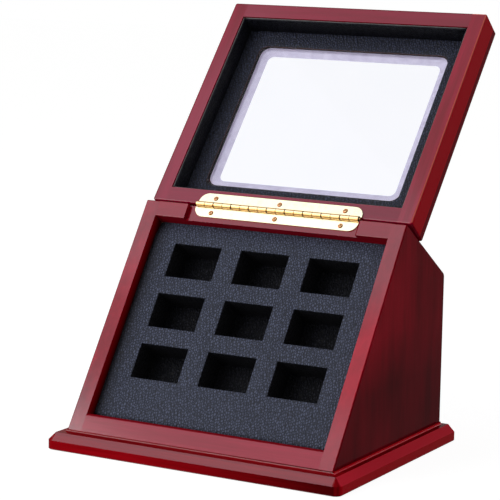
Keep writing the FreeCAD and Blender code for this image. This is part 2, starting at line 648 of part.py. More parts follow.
def hinge_leaf(name, frame, side, width, left, right, first_knuckle):
    """A leaf with a row of curled knuckles and three countersunk holes."""
    body = new_body(name, frame)
    inner = f"{side} * (barrel_radius + leaf_clearance)"
    outer = f"{side} * {width}"
    plate = new_sketch(body, "XY", "-barrel_radius")
    add_rectangle(plate, left, right, *(sorted([inner, outer], key=number)))
    pad(body, plate, "leaf_thickness")
    dress(body, "Fillet", "leaf_corner",
          lambda edge: lies(edge, x=left, y=outer) or lies(edge, x=right, y=outer))
    spots = [(x, f"{side} * screw_row") for x in screw_spots]
    drill(body, "XY", "-bore_radius", spots, "screw_shank", "leaf_thickness")
    dress(body, "Chamfer", "screw_head - screw_shank",
          lambda edge: is_hole(edge, "-bore_radius", "screw_shank + hole_clearance"))
    curl = new_sketch(body, "YZ", first_knuckle)
    add_curl(curl, side)
    knuckle = pad(body, curl, "knuckle_width")
    row = body.newObject("PartDesign::LinearPattern", name + "_row")
    row.Originals = [knuckle]
    row.Direction = (origin_part(body, "X_Axis"), [""])
    bind(row, "Length", "knuckle_pitch * (knuckle_pairs - 1)")
    bind(row, "Occurrences", "knuckle_pairs")
    body.Tip = row
    doc.recompute()


hinge_leaf("hinge_body_leaf", "pin_face", -1, "body_leaf_width", "-hinge_length / 2 - leaf_stagger",
           "hinge_length / 2", "knuckle_width + knuckle_gap - hinge_length / 2")
hinge_leaf("hinge_lid_leaf", "pin_lid", 1, "leaf_width", "-hinge_length / 2",
           "hinge_length / 2 + leaf_stagger", "-hinge_length / 2")

pin = new_body("hinge_pin", "pin_face")
round_bar = new_sketch(pin, "YZ", "-hinge_length / 2 - pin_end")
add_circle(round_bar, "0", "0", "pin_radius")
pad(pin, round_bar, "hinge_length + 2 * pin_end")
dress(pin, "Chamfer", "arris / 2", lambda edge: lies(edge, x="-hinge_length / 2 - pin_end")
      or lies(edge, x="hinge_length / 2 + pin_end"))


def hinge_screws(name, frame, side):
    """Three countersunk screws with low domed heads and cross recesses."""
    body = new_body(name, frame)
    row = f"{side} * screw_row"
    dome = [(f"screw_head * sin({turn})", f"screw_dome * cos({turn})")
            for turn in (0, 35, 65, 90)]
    cone = [("screw_shank", "screw_shank - screw_head"),
            ("screw_shank", "screw_shank - leaf_thickness - screw_length"),
            ("0", "-leaf_thickness - screw_length")]
    for x in screw_spots:
        turned(body, x, row, "-bore_radius", dome + cone)
    recesses = new_sketch(body, "XY", "screw_dome - bore_radius")
    half = "recess_width / 2"
    quarter = [("recess_reach", half), (half, half), (half, "recess_reach")]
    for x in screw_spots:
        cross = []
        for a_sign, b_sign, swap in (("", "", False), ("-", "", True), ("-", "-", False),
                                     ("", "-", True)):
            ordered = reversed(quarter) if swap else quarter
            cross += [(f"{x} + {a_sign}{a}", f"{row} + {b_sign}{b}") for a, b in ordered]
        add_loop(recesses, cross)
    cut(body, recesses, "recess_depth")


hinge_screws("hinge_body_screws", "pin_face", -1)
hinge_screws("hinge_lid_screws", "pin_lid", 1)

# ---- Lid


def side_rail(name, outer, inner):
    """A side rail with its two outer corners and its inner face's edges softened."""
    left, right = sorted([outer, inner], key=number)
    body = slab(name, "lid", left, right, "0", "lid_length", "0", "rail_thickness")
    dress(body, "Fillet", "lid_edge",
          lambda edge: lies(edge, x=outer, y="0") or lies(edge, x=outer, y="lid_length"))
    dress(body, "Fillet", "lid_side_edge",
          lambda edge: lies(edge, z="0") and not lies(edge, x=inner))
    drill(body, "YZ", inner, lid_dowels_at, "dowel_radius", "dowel_half",
          backwards=number(outer) > 0)


lid_dowels_at = [("hinge_rail / 2", "-rail_thickness / 2"),
                 ("lid_length - front_rail / 2", "-rail_thickness / 2")]
side_rail("lid_left_rail", "-lid_half", "-lid_inside")
side_rail("lid_right_rail", "lid_half", "lid_inside")

front = slab("lid_front_rail", "lid", "-lid_inside", "lid_inside", "lid_front", "lid_length",
             "0", "rail_thickness")
dress(front, "Fillet", "lid_side_edge", lambda edge: lies(edge, y="lid_length", z="0"))
dowel_ends(front, "lid_inside", lid_dowels_at[1:])

end = slab("lid_hinge_rail", "lid", "-lid_inside", "lid_inside", "0", "hinge_rail",
           "0", "rail_thickness")
dress(end, "Fillet", "lid_side_edge", lambda edge: lies(edge, y="0", z="0"))
dowel_ends(end, "lid_inside", lid_dowels_at[:1])
drill(end, "XY", "0", [(x, "screw_row - pin_out") for x in screw_spots], "screw_shank",
      "screw_length")

lid_dowels = new_body("lid_dowels", "lid")
for middle in ("-lid_inside", "lid_inside"):
    ends = new_sketch(lid_dowels, "YZ", f"{middle} - dowel_half")
    for y, z in lid_dowels_at:
        add_circle(ends, y, z, "dowel_radius")
    pad(lid_dowels, ends, "dowel_length")


def window(side, front_end, hinge_end, grow):
    """Left, right, low and high of a window outline, from margins and how much it grows."""
    return (f"{side} - lid_half - {grow}", f"lid_half - {side} + {grow}",
            f"{hinge_end} - {grow}", f"lid_length - {front_end} + {grow}")


def opening(grow):
    return window("window_side", "window_front", "window_hinge", grow)


panel = slab("lid_top_panel", "lid", "-lid_half", "lid_half", "0", "lid_length",
             "-rail_thickness", "lid_panel")
dress(panel, "Fillet", "lid_edge",
      lambda edge: lies(edge, z="-lid_thickness")
      or (not lies(edge, z="-rail_thickness") and
          any(lies(edge, x=x, y=y) for x in ("-lid_half", "lid_half") for y in ("0", "lid_length"))))
rebate = new_sketch(panel, "XY", "-rail_thickness")
add_rounded(rebate, *opening("pane_flange"), "(window_radius + pane_flange)")
cut(panel, rebate, "lip_depth - rail_thickness")
through = new_sketch(panel, "XY", "-rail_thickness")
add_rounded(through, *opening("0"), "window_radius")
cut(panel, through, "lid_panel")

pane = new_body("window_pane", "lid")
flange = new_sketch(pane, "XY", "-rail_thickness")
add_rounded(flange, *opening("(pane_flange - pane_gap)"), "(window_radius + pane_flange - pane_gap)")
pad(pane, flange, "lip_depth - rail_thickness", backwards=True)
edge_line = new_sketch(pane, "XY", "-lip_depth")
add_rounded(edge_line, *opening("(-pane_gap)"), "(window_radius - pane_gap)")
top_line = new_sketch(pane, "XY", "pane_set - lid_thickness")
add_rounded(top_line, *opening("(-pane_gap - bevel_width)"), "bevel_radius")
bevel = pane.newObject("PartDesign::AdditiveLoft", "pane_bevel")
bevel.Profile = edge_line
bevel.Sections = [(top_line, [""])]
doc.recompute()

liner = slab("lid_liner_floor", "lid", "-lid_inside", "lid_inside", "hinge_rail", "lid_front",
             "-liner_face", "liner_thickness")
hole = new_sketch(liner, "XY", "-liner_face")
add_rounded(hole, *window("cut_side", "cut_front", "cut_hinge", "0"), "cut_radius")
cut(liner, hole, "liner_thickness")
slab("lid_liner_left", "lid", "-lid_inside", "liner_wall - lid_inside", "hinge_rail", "lid_front",
     "-liner_drop", "liner_face - liner_drop")
slab("lid_liner_right", "lid", "lid_inside - liner_wall", "lid_inside", "hinge_rail", "lid_front",
     "-liner_drop", "liner_face - liner_drop")
slab("lid_liner_front", "lid", "liner_wall - lid_inside", "lid_inside - liner_wall",
     "lid_front - liner_wall", "lid_front", "-liner_drop", "liner_face - liner_drop")
slab("lid_liner_hinge", "lid", "liner_wall - lid_inside", "lid_inside - liner_wall",
     "hinge_rail", "hinge_rail + liner_wall", "-liner_drop", "liner_face - liner_drop")

# ---- Checks and STEP files

doc.recompute()
for thing in doc.Objects:
    if "Invalid" in thing.State or "Error" in thing.State:
        raise RuntimeError(thing.Name + " is not valid: " + str(thing.State))
for piece in pieces:
    if piece.Shape.isNull() or not piece.Shape.isValid():
        raise RuntimeError(piece.Label + " has no valid shape")

os.makedirs("parts", exist_ok=True)
for piece in pieces:
    piece.Shape.exportStep("parts/" + piece.Label + ".step")
print(f"{len(pieces)} pieces; pin at y {number('pin_y'):.3f}, z {number('pin_z'):.3f};"
      f" lid leans {number('lid_lean'):.3f} degrees")
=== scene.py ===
# %% [markdown]
# # A slant-front display case in cherry lacquer
#
# The case is a wooden stand with a sloping tray of nine pockets and a windowed lid that leans
# back on a piano hinge. The solids come from CAD and stay as they are. This lesson dresses them:
# lacquer on the wood, grained leatherette in the tray and the lid, polished brass on the hinge
# and a bevelled clear pane. Soft pieces get meshes of their own, because leatherette has rounded
# lips and a little padding that a plain solid lacks.

# %% Load the frame
import math

import bpy
from mathutils import Matrix, Vector


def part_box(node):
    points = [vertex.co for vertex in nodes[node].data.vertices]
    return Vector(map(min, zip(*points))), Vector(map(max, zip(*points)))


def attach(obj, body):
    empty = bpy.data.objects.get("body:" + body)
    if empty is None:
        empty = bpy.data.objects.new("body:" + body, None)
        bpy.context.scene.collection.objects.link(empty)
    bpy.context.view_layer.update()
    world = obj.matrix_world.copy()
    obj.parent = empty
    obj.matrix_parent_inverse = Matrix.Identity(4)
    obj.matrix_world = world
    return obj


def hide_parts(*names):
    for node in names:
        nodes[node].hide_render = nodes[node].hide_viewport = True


MM = 0.001
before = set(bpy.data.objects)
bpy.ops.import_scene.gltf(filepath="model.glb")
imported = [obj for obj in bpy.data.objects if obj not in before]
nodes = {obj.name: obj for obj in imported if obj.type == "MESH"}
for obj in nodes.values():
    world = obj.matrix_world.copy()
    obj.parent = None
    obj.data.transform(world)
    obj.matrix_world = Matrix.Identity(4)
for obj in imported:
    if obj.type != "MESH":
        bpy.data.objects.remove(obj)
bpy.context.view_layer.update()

# %% [markdown]
# ## The camera
#
# A product view like this one is taken with a long lens from over a metre away, so that the
# case hardly tapers. The camera looks down a little from the right of the front. A matrix built
# from the three camera directions holds its small roll exactly, which a track-to constraint
# would lose.

# %% Camera
AZIMUTH = math.radians(29.526)
ELEVATION = math.radians(9.143)
ROLL = math.radians(0.997)
DISTANCE = 1363.75 * MM
TARGET = Vector((1.917, -11.27, 129.266)) * MM
LENS = 155.772
SENSOR = 36.0
NEAREST, FURTHEST = 0.05, 50.0

back = Vector((math.sin(AZIMUTH) * math.cos(ELEVATION),
               -math.cos(AZIMUTH) * math.cos(ELEVATION), math.sin(ELEVATION)))
level_right = Vector((math.cos(AZIMUTH), math.sin(AZIMUTH), 0))
level_up = back.cross(level_right)
right = level_right * math.cos(ROLL) + level_up * math.sin(ROLL)
up = level_up * math.cos(ROLL) - level_right * math.sin(ROLL)

camera = bpy.data.objects.new("camera", bpy.data.cameras.new("camera"))
camera.data.sensor_width = SENSOR
camera.data.lens = LENS
camera.data.clip_start = NEAREST
camera.data.clip_end = FURTHEST
place = TARGET + back * DISTANCE
camera.matrix_world = Matrix(((right.x, up.x, back.x, place.x), (right.y, up.y, back.y, place.y),
                              (right.z, up.z, back.z, place.z), (0, 0, 0, 1)))
bpy.context.scene.collection.objects.link(camera)
bpy.context.scene.camera = camera
bpy.context.scene.view_settings.view_transform = "Standard"
print("lens:", round(camera.data.lens, 1), "mm")

# %% [markdown]
# ## Small helpers for nodes
#
# Every finish below is a node tree. `Tree` adds nodes and wires them in one line each, so that
# a material reads like a recipe. A helper is better here than copying ten lines for each node.

# %% Node helpers


class Tree:
    """Adds nodes to a tree and joins them."""

    def __init__(self, tree):
        self.tree = tree

    def add(self, kind, **settings):
        """A node, with properties by name and inputs given in a dictionary."""
        inputs = settings.pop("inputs", {})
        node = self.tree.nodes.new(kind)
        for name, value in settings.items():
            setattr(node, name, value)
        for name, value in inputs.items():
            if isinstance(value, bpy.types.NodeSocket):
                self.tree.links.new(value, node.inputs[name])
            else:
                node.inputs[name].default_value = value
        return node

    def link(self, output, socket):
        self.tree.links.new(output, socket)

    def math(self, operation, first, second=0.0, clamp=False):
        node = self.add("ShaderNodeMath", operation=operation, use_clamp=clamp,
                        inputs={0: first, 1: second})
        return node.outputs[0]

    def times(self, first, second, clamp=False):
        return self.math("MULTIPLY", first, second, clamp)

    def without(self, value):
        """What is left of 1 when a value is taken away."""
        return self.math("SUBTRACT", 1.0, value)

    def only(self, mask, factor):
        """A factor that counts where a mask is 1, and is 1 elsewhere."""
        return self.math("ADD", self.times(mask, self.math("SUBTRACT", factor, 1.0)), 1.0)

    def vector(self, operation, first, second=(0, 0, 0), result=0):
        node = self.add("ShaderNodeVectorMath", operation=operation,
                        inputs={0: first, 1: second})
        return node.outputs[result]

    def dot(self, first, second):
        return self.vector("DOT_PRODUCT", first, second, "Value")

    def scale(self, vector, factor):
        node = self.add("ShaderNodeVectorMath", operation="SCALE",
                        inputs={0: vector, "Scale": factor})
        return node.outputs[0]

    def split(self, vector):
        """The X, Y and Z of a vector, by name."""
        return self.add("ShaderNodeSeparateXYZ", inputs={0: vector}).outputs

    def noise(self, vector, scale, detail, dimensions="3D", **more):
        """Soft noise, which mostly stays between 0.3 and 0.7."""
        node = self.add("ShaderNodeTexNoise", noise_dimensions=dimensions,
                        inputs={"Vector": vector, "Scale": scale, "Detail": detail, **more})
        return node.outputs[0]

    def mix(self, factor, first, second):
        node = self.add("ShaderNodeMix", data_type="RGBA",
                        inputs={0: factor, 6: first, 7: second})
        return node.outputs[2]

    def span(self, value, low, high, to_low=0.0, to_high=1.0):
        """A value spread from one range to another, and held at the ends."""
        node = self.add("ShaderNodeMapRange", inputs={0: value, 1: low, 2: high, 3: to_low,
                                                      4: to_high})
        return node.outputs[0]

    def seen(self):
        """1 for what the camera sees, straight, through glass or in a reflection."""
        path = self.add("ShaderNodeLightPath").outputs
        direct = self.math("MAXIMUM", path["Is Camera Ray"], path["Is Transmission Ray"])
        return self.math("MAXIMUM", direct, path["Is Glossy Ray"])


BLACK = (0.0, 0.0, 0.0, 1.0)
WHITE = (1.0, 1.0, 1.0, 1.0)


def srgb(red, green, blue):
    """A colour as it looks on a screen, from 0 to 255, as the linear colour that nodes use."""
    def linear(c):
        c = c / 255
        return c / 12.92 if c <= 0.04045 else ((c + 0.055) / 1.055) ** 2.4
    return (linear(red), linear(green), linear(blue), 1.0)


def new_group(name, inputs, outputs):
    """An empty shader group with named sockets: (name, kind, default) and (name, kind)."""
    group = bpy.data.node_groups.new(name, "ShaderNodeTree")
    for label, kind, default in inputs:
        socket = group.interface.new_socket(label, in_out="INPUT", socket_type="NodeSocket" + kind)
        socket.default_value = default
    for label, kind in outputs:
        group.interface.new_socket(label, in_out="OUTPUT", socket_type="NodeSocket" + kind)
    given = group.nodes.new("NodeGroupInput").outputs
    put = group.nodes.new("NodeGroupOutput").inputs
    return group, given, put


def empty_material(name):
    """A material whose node tree is still empty."""
    material = bpy.data.materials.new(name)
    material.use_nodes = True
    material.node_tree.nodes.clear()
    return material, Tree(material.node_tree)


def new_material(name):
    """A material with a Principled shader wired to its output."""
    material, maker = empty_material(name)
    shader = maker.add("ShaderNodeBsdfPrincipled")
    maker.add("ShaderNodeOutputMaterial", inputs={0: shader.outputs[0]})
    return material, maker, shader


def set_values(shader, **values):
    """Sets a shader's own sockets by name."""
    for label, value in values.items():
        shader.inputs[label.replace("_", " ")].default_value = value


def object_point(maker):
    return maker.add("ShaderNodeTexCoord").outputs["Object"]


def use_group(maker, group, **values):
    """A group in a material, with its inputs set by name."""
    inputs = {label.replace("_", " "): value for label, value in values.items()}
    return maker.add("ShaderNodeGroup", node_tree=group, inputs=inputs).outputs


# %% [markdown]
# ## Light
#
# Glossy lacquer and brass mostly show what stands round them. The front is lit by a wide lamp
# low on the left, and a second soft box high on the left lies where the sloping front mirrors
# it, which gives the lacquer its rose sheen and the hinge its bright leaves. The world gives
# the rest a dim even light, so that the right side stays deep red.

# %% World and lamps
world = bpy.data.worlds.new("studio")
bpy.context.scene.world = world
world.use_nodes = True
world.node_tree.nodes.clear()
sky = Tree(world.node_tree)
WORLD_LIGHT = 0.28
strength = sky.span(sky.seen(), 0.0, 1.0, WORLD_LIGHT, 1.0)
backdrop = sky.add("ShaderNodeBackground", inputs={0: WHITE, 1: strength})
sky.add("ShaderNodeOutputWorld", inputs={0: backdrop.outputs[0]})


def soft_box(name, towards, distance, size, radiance, colour=(1, 1, 1)):
    """A square lamp that faces the case from one direction, as bright as its radiance says."""
    lamp = bpy.data.lights.new(name, "AREA")
    lamp.shape = "SQUARE"
    lamp.size = size
    lamp.energy = radiance * math.pi * size * size
    lamp.color = colour
    holder = bpy.data.objects.new(name, lamp)
    direction = Vector(towards).normalized()
    holder.location = TARGET + direction * distance
    holder.rotation_mode = "QUATERNION"
    holder.rotation_quaternion = direction.to_track_quat("Z", "Y")
    bpy.context.scene.collection.objects.link(holder)


soft_box("front_lamp", towards=(-0.55, -0.85, 0.30), distance=1.5, size=1.1, radiance=3.3)
soft_box("sheen_lamp", towards=(-0.486, -0.47, 0.734), distance=1.2, size=0.75, radiance=1.05,
         colour=(0.94, 0.97, 1.22))

# %% Floor
FLOOR_HALF = 4.0
FLOOR_GREY = (0.30, 0.30, 0.30, 1.0)
SHADOW_GREY = (0.20, 0.20, 0.20, 1.0)
FLOOR_GLOW = 0.94
mesh = bpy.data.meshes.new("floor")
mesh.from_pydata([(-FLOOR_HALF, -FLOOR_HALF, 0), (FLOOR_HALF, -FLOOR_HALF, 0),
                  (FLOOR_HALF, FLOOR_HALF, 0), (-FLOOR_HALF, FLOOR_HALF, 0)], [], [(0, 1, 2, 3)])
floor = bpy.data.objects.new("floor", mesh)
bpy.context.scene.collection.objects.link(floor)
material, maker = empty_material("pale_floor")
paint = maker.add("ShaderNodeBsdfDiffuse", inputs={0: FLOOR_GREY})
pale = maker.add("ShaderNodeBsdfDiffuse", inputs={0: SHADOW_GREY})
glow = maker.add("ShaderNodeEmission", inputs={0: WHITE, 1: FLOOR_GLOW})
both = maker.add("ShaderNodeAddShader", inputs={0: pale.outputs[0], 1: glow.outputs[0]})
choice = maker.add("ShaderNodeMixShader", inputs={0: maker.seen(), 1: paint.outputs[0],
                                                  2: both.outputs[0]})
maker.add("ShaderNodeOutputMaterial", inputs={0: choice.outputs[0]})
mesh.materials.append(material)

# %% [markdown]
# ## Cherry lacquer
#
# The wood is stained deep red under a thick gloss lacquer. Its figure is faint: long soft
# streaks along each board. Noise stretched along one axis makes such streaks. The direction
# differs from board to board, so the group takes it as an input, and each board's material
# sets its own. With Cloud, a broad soft noise also drifts over faces that look sideways.
#
# The later steps go by the way that a face looks, so the mesh needs no marks. A range fades a
# rule in between two sizes of a part of the normal. Where it has two more numbers, they are the
# values at its ends.

# %% Wood figure group
wood_figure, given, put = new_group(
    "wood_figure",
    [("Dark", "Color", srgb(70, 0, 6)), ("Light", "Color", srgb(150, 8, 18)),
     ("Along", "Vector", (1, 0, 0)), ("Streak Width", "Float", 6 * MM),
     ("Streak Length", "Float", 120 * MM), ("Contrast", "Float", 0.5),
     ("Edge", "Color", srgb(120, 6, 14)), ("Arris", "Color", srgb(120, 6, 14)),
     ("Gloss", "Float", 1.0), ("Moulded", "Float", 0.0), ("Side Tint", "Float", 0.0),
     ("Ridge", "Float", 0.0), ("Cloud", "Float", 0.0), ("Step", "Float", 11.1 * MM),
     ("Out", "Vector", (0, 0, 1)), ("Foot", "Float", -1.0), ("Deepen", "Float", 0.0),
     ("Stile", "Float", 0.0)],
    [("Color", "Color"), ("Roughness", "Float"), ("Sheen", "Float")])
print("wood figure takes", len(given) - 1, "inputs")

# %% Streaks and cloud
STREAK_MIX = (0.45, 0.4, 0.15)
STREAK_GAIN = 5.0
CLOUD_SPAN = 70 * MM
CLOUD_PHASE = 2.0
LOOKS_SIDEWAYS = (0.5, 0.9)
maker = Tree(wood_figure)
coordinates = maker.add("ShaderNodeTexCoord").outputs
point, outward = coordinates["Object"], coordinates["Normal"]
place = maker.split(point)
looks = maker.split(outward)
either = maker.split(maker.vector("ABSOLUTE", outward))
sideways = maker.span(either["X"], *LOOKS_SIDEWAYS)
along = maker.scale(given["Along"], maker.dot(point, given["Along"]))
across = maker.vector("SUBTRACT", point, along)
across = maker.scale(across, maker.math("DIVIDE", 1.0, given["Streak Width"]))
along = maker.scale(along, maker.math("DIVIDE", 1.0, given["Streak Length"]))
stretched = maker.vector("ADD", across, along)
streaks = maker.noise(stretched, 1.0, 3.0, Roughness=0.55)
broad = maker.noise(stretched, 0.23, 1.0)
fine = maker.noise(stretched, 6.0, 2.0)
figure = maker.math("ADD", maker.times(streaks, STREAK_MIX[0]),
                    maker.times(broad, STREAK_MIX[1]))
figure = maker.math("ADD", figure, maker.times(fine, STREAK_MIX[2]))
figure = maker.times(maker.math("SUBTRACT", figure, 0.5), given["Contrast"])
cloud = maker.noise(point, 1 / CLOUD_SPAN, 1.5, "4D", W=CLOUD_PHASE)
cloud = maker.times(maker.math("SUBTRACT", cloud, 0.5), given["Cloud"])
figure = maker.math("ADD", figure, maker.times(cloud, sideways))
share = maker.math("ADD", maker.times(figure, STREAK_GAIN), 0.5, clamp=True)
figured = maker.mix(share, given["Dark"], given["Light"])
maker.link(maker.span(fine, 0.3, 0.7, 0.10, 0.16), put["Roughness"])
print("streaks:", len(wood_figure.nodes), "nodes")

# %% [markdown]
# An arris is a rounded edge, where a face turns from the front to the side. It takes the Arris
# colour, which is painted light and shade: a pale red there is a painted highlight, and the dark
# default is painted shade, which also lies on rounded edges that turn upwards. With Side Tint,
# faces that look to the right take a brighter red of their own, a painted light. It fades towards
# black at Foot, a height along Out, where such a face meets the tray: a painted shade.

# %% Arrises, and painted light and shade on faces that look right
ARRIS_GAIN, MOULDED_GAIN = 2.6, 2.0
LOOKS_UP = (0.66, 0.76, 0.0, 0.8)
BOARD_END = (0.85, 0.97, 1.0, 0.0)
LIT_SIDE_SPAN = (0.75, 1.0, 0.0, 0.9)
FOOT_SHADE_REACH = 7 * MM
FOOT_SHADE = (0.0, 1.0, 0.12, 1.0)
untinted = maker.without(given["Side Tint"])
right = maker.math("ADD", maker.times(looks["X"], given["Side Tint"]),
                   maker.times(either["X"], untinted))
turning = maker.times(maker.without(right), right)
gain = maker.math("ADD", maker.times(given["Moulded"], MOULDED_GAIN), ARRIS_GAIN)
# Rounded edges take the Arris colour: a painted highlight where it is a pale red, as on the plinth
# and the lid's right rail, and painted shade where it is the dark default. The beech's is its own
# colour.
arris = maker.times(turning, gain, clamp=True)
arris = maker.times(arris, maker.math("MAXIMUM", maker.span(looks["Z"], 0.2, 0.5), untinted))
corner = maker.times(maker.span(either["Y"], 0.15, 0.4), given["Moulded"])
arris = maker.times(arris, maker.without(corner))
board = maker.without(maker.math("MAXIMUM", given["Moulded"], given["Ridge"]))
# Rounded edges that turn upwards on plain boards take it too: painted shade on most boards, a
# painted highlight on the lid's right rail.
upper = maker.times(maker.span(either["Z"], *LOOKS_UP), board)
lengthwise = maker.math("ABSOLUTE", maker.dot(outward, given["Along"]))
upper = maker.times(upper, maker.span(lengthwise, *BOARD_END))
arris = maker.math("MAXIMUM", arris, upper)
# Faces that look right get a brighter red, a painted light, that fades to a painted shade at Foot.
lit_side = maker.times(maker.span(right, *LIT_SIDE_SPAN), given["Side Tint"])
rise = maker.math("SUBTRACT", maker.dot(point, given["Out"]), given["Foot"])
rise = maker.math("DIVIDE", rise, FOOT_SHADE_REACH)
lit_side_colour = maker.mix(maker.span(rise, *FOOT_SHADE), BLACK, given["Edge"])
tinted = maker.mix(lit_side, figured, lit_side_colour)
tinted = maker.mix(arris, tinted, given["Arris"])
print("with arrises:", len(wood_figure.nodes), "nodes")

# %% [markdown]
# Some light and shade is painted into the colour. On a moulded board's front a painted shade
# deepens to the right, and its left end is painted lighter. With Deepen, a face that looks
# sideways has painted shade towards its foot and is painted lighter higher up, and with Stile, the
# red is brighter half-way up an upright.

# %% Painted shade and light, and the stiles' middle
RIGHTWARD_SHADE = (-32 * MM, 99 * MM, 1.3, 0.32)
DOWNWARD_SHADE = (50 * MM, 85 * MM, 0.75, 1.42)
LOOKS_FORWARD = (-0.98, -0.9, 1.0, 0.0)
STILE_FOOT, STILE_LOW, STILE_HIGH, STILE_HEAD = 28 * MM, 55 * MM, 88 * MM, 118 * MM
STILE_WARMTH = 1.3
# Painted shade and light: darker to the right on a moulded front, darker low on sideways faces.
forward = maker.times(maker.span(looks["Y"], *LOOKS_FORWARD), given["Moulded"])
rightward = maker.only(forward, maker.span(place["X"], *RIGHTWARD_SHADE))
downward = maker.only(maker.times(sideways, given["Deepen"]),
                      maker.span(place["Z"], *DOWNWARD_SHADE))
middle = maker.math("MINIMUM", maker.span(place["Z"], STILE_FOOT, STILE_LOW),
                    maker.span(place["Z"], STILE_HIGH, STILE_HEAD, 1.0, 0.0))
middle = maker.times(middle, given["Stile"])
middle = maker.times(middle, maker.span(either["X"], 0.1, 0.5, 1.0, 0.0))
shade_and_warmth = maker.times(maker.times(rightward, downward), maker.only(middle, STILE_WARMTH))
maker.link(maker.scale(tinted, shade_and_warmth), put["Color"])
print("with stain:", len(wood_figure.nodes), "nodes")

# %% [markdown]
# Sheen is the pale film that polished lacquer shows on its slopes. It stops at level faces and
# at rounded edges, and is weaker behind. A moulded board has it on the chamfer below Step and
# where a nearly level face tips sideways, and with Ridge it also lies on the front of a ridge.
# It feeds the weight of the coat, a thin clear layer over the paint.

# %% Sheen
SQUARE_FACE = (0.90, 0.99, 1.0, 0.0)
NOT_SIDEWAYS = (0.04, 0.2, 1.0, 0.0)
NOT_LEVEL = (0.68, 0.76, 1.0, 0.0)
LOOKS_BACK = (0.85, 0.95, 1.0, 0.3)
STILE_SHEEN = 0.58
squarest = maker.math("MAXIMUM", either["X"], maker.times(either["Y"], given["Moulded"]))
squarest = maker.math("MAXIMUM", squarest, either["Z"])
step = maker.times(maker.math("LESS_THAN", place["Z"], given["Step"]), given["Moulded"])
shiny = maker.math("MAXIMUM", maker.span(either["Z"], *NOT_LEVEL), step)
ridge = maker.times(given["Ridge"], maker.span(looks["Y"], 0.0, 0.3, 1.0, 0.0))
ridge = maker.times(ridge, maker.span(looks["Z"], 0.0, 0.2))
shiny = maker.times(maker.span(either["X"], *NOT_SIDEWAYS),
                    maker.math("MAXIMUM", shiny, ridge))
tipped = maker.times(maker.span(either["Z"], 0.78, 0.88), given["Moulded"])
tipped = maker.times(tipped, maker.span(either["X"], 0.05, 0.15))
sheen = maker.times(maker.span(squarest, *SQUARE_FACE), maker.math("MAXIMUM", shiny, tipped))
sheen = maker.times(sheen, maker.span(looks["Y"], *LOOKS_BACK))
sheen = maker.times(sheen, maker.only(middle, STILE_SHEEN))
maker.link(maker.times(sheen, given["Gloss"]), put["Sheen"])
print("with sheen:", len(wood_figure.nodes), "nodes")

# %% Lacquer


def lacquer(name, dark, light, along, **choices):
    """Glossy stained wood with streaks along one direction, and the group's other choices."""
    material, maker, shader = new_material(name)
    wood = use_group(maker, wood_figure, Dark=dark, Light=light, Along=along, **choices)
    maker.link(wood["Color"], shader.inputs["Base Color"])
    maker.link(wood["Roughness"], shader.inputs["Roughness"])
    maker.link(wood["Sheen"], shader.inputs["Coat Weight"])
    set_values(shader, Specular_IOR_Level=0.006, Coat_Roughness=0.12)
    return material


# %% [markdown]
# ## Leatherette
#
# Pocket trays are covered in embossed vinyl: small flat pebbles with fine creases between them,
# drawn out a little in one direction. A Voronoi pattern gives the creases, a noise bends them,
# and a Bump node turns the height into shading. Real displacement would need far more faces
# than such a fine grain is worth. With Wall, a painted shadow darkens the colour towards the
# wall beside it.

# %% Leatherette group
SHADE_REACH = 13 * MM
GRAIN_TURN = (0.5, 0.3, 0.6)
GRAIN_STRETCH = (1.0, 0.7, 0.6)
CREASE_BEND = (0.4, 0.4, 0.4)
CREASE_WIDTH = (0.03, 0.26)
FINE_GRAIN = 0.15
TRAY_LEFT = min(vertex.co.x for vertex in nodes["tray_cover"].data.vertices)
leatherette_grain, given, put = new_group(
    "leatherette_grain",
    [("Color", "Color", srgb(48, 50, 60)), ("Crease", "Color", srgb(18, 18, 22)),
     ("Pebble", "Float", 1.3 * MM), ("Depth", "Float", 0.25 * MM), ("Dullness", "Float", 0.42),
     ("Wall", "Float", -1.0)],
    [("Color", "Color"), ("Roughness", "Float"), ("Normal", "Vector")])
maker = Tree(leatherette_grain)
point = object_point(maker)
scaled = maker.scale(point, maker.math("DIVIDE", 1.0, given["Pebble"]))
turned = maker.add("ShaderNodeMapping", inputs={0: scaled, 2: GRAIN_TURN, 3: GRAIN_STRETCH})
turned = turned.outputs[0]
bend = maker.add("ShaderNodeTexNoise", inputs={"Vector": turned, "Scale": 0.6, "Detail": 1.0})
bent = maker.add("ShaderNodeVectorMath", operation="MULTIPLY_ADD",
                 inputs={0: bend.outputs["Color"], 1: CREASE_BEND, 2: turned}).outputs[0]
cells = maker.add("ShaderNodeTexVoronoi", feature="DISTANCE_TO_EDGE",
                  inputs={"Vector": bent, "Scale": 1.0, "Randomness": 0.65}).outputs["Distance"]
pebble = maker.span(cells, *CREASE_WIDTH)
fine = maker.times(maker.noise(bent, 3.0, 2.0), FINE_GRAIN)
height = maker.math("ADD", pebble, fine)
bump = maker.add("ShaderNodeBump", inputs={"Strength": 1.0, "Distance": given["Depth"],
                                           "Height": height})
# Painted shadow: the colour darkens towards the wall at Wall.
beside = maker.math("SUBTRACT", maker.split(point)["X"], given["Wall"])
beside = maker.math("DIVIDE", beside, SHADE_REACH)
shade = maker.span(beside, 0.08, 1.0, 0.15, 1.0)
grained = maker.mix(pebble, given["Crease"], given["Color"])
maker.link(maker.mix(shade, BLACK, grained), put["Color"])
maker.link(maker.math("ADD", given["Dullness"], fine), put["Roughness"])
maker.link(bump.outputs[0], put["Normal"])
print("leatherette grain:", len(leatherette_grain.nodes), "nodes")

# %% Leatherettes


def leatherette(name, colour, crease, specular=0.25, **choices):
    """Embossed vinyl with rounded pebbles."""
    material, maker, shader = new_material(name)
    skin = use_group(maker, leatherette_grain, Color=colour, Crease=crease, **choices)
    maker.link(skin["Color"], shader.inputs["Base Color"])
    maker.link(skin["Roughness"], shader.inputs["Roughness"])
    maker.link(skin["Normal"], shader.inputs["Normal"])
    set_values(shader, Specular_IOR_Level=specular)
    return material


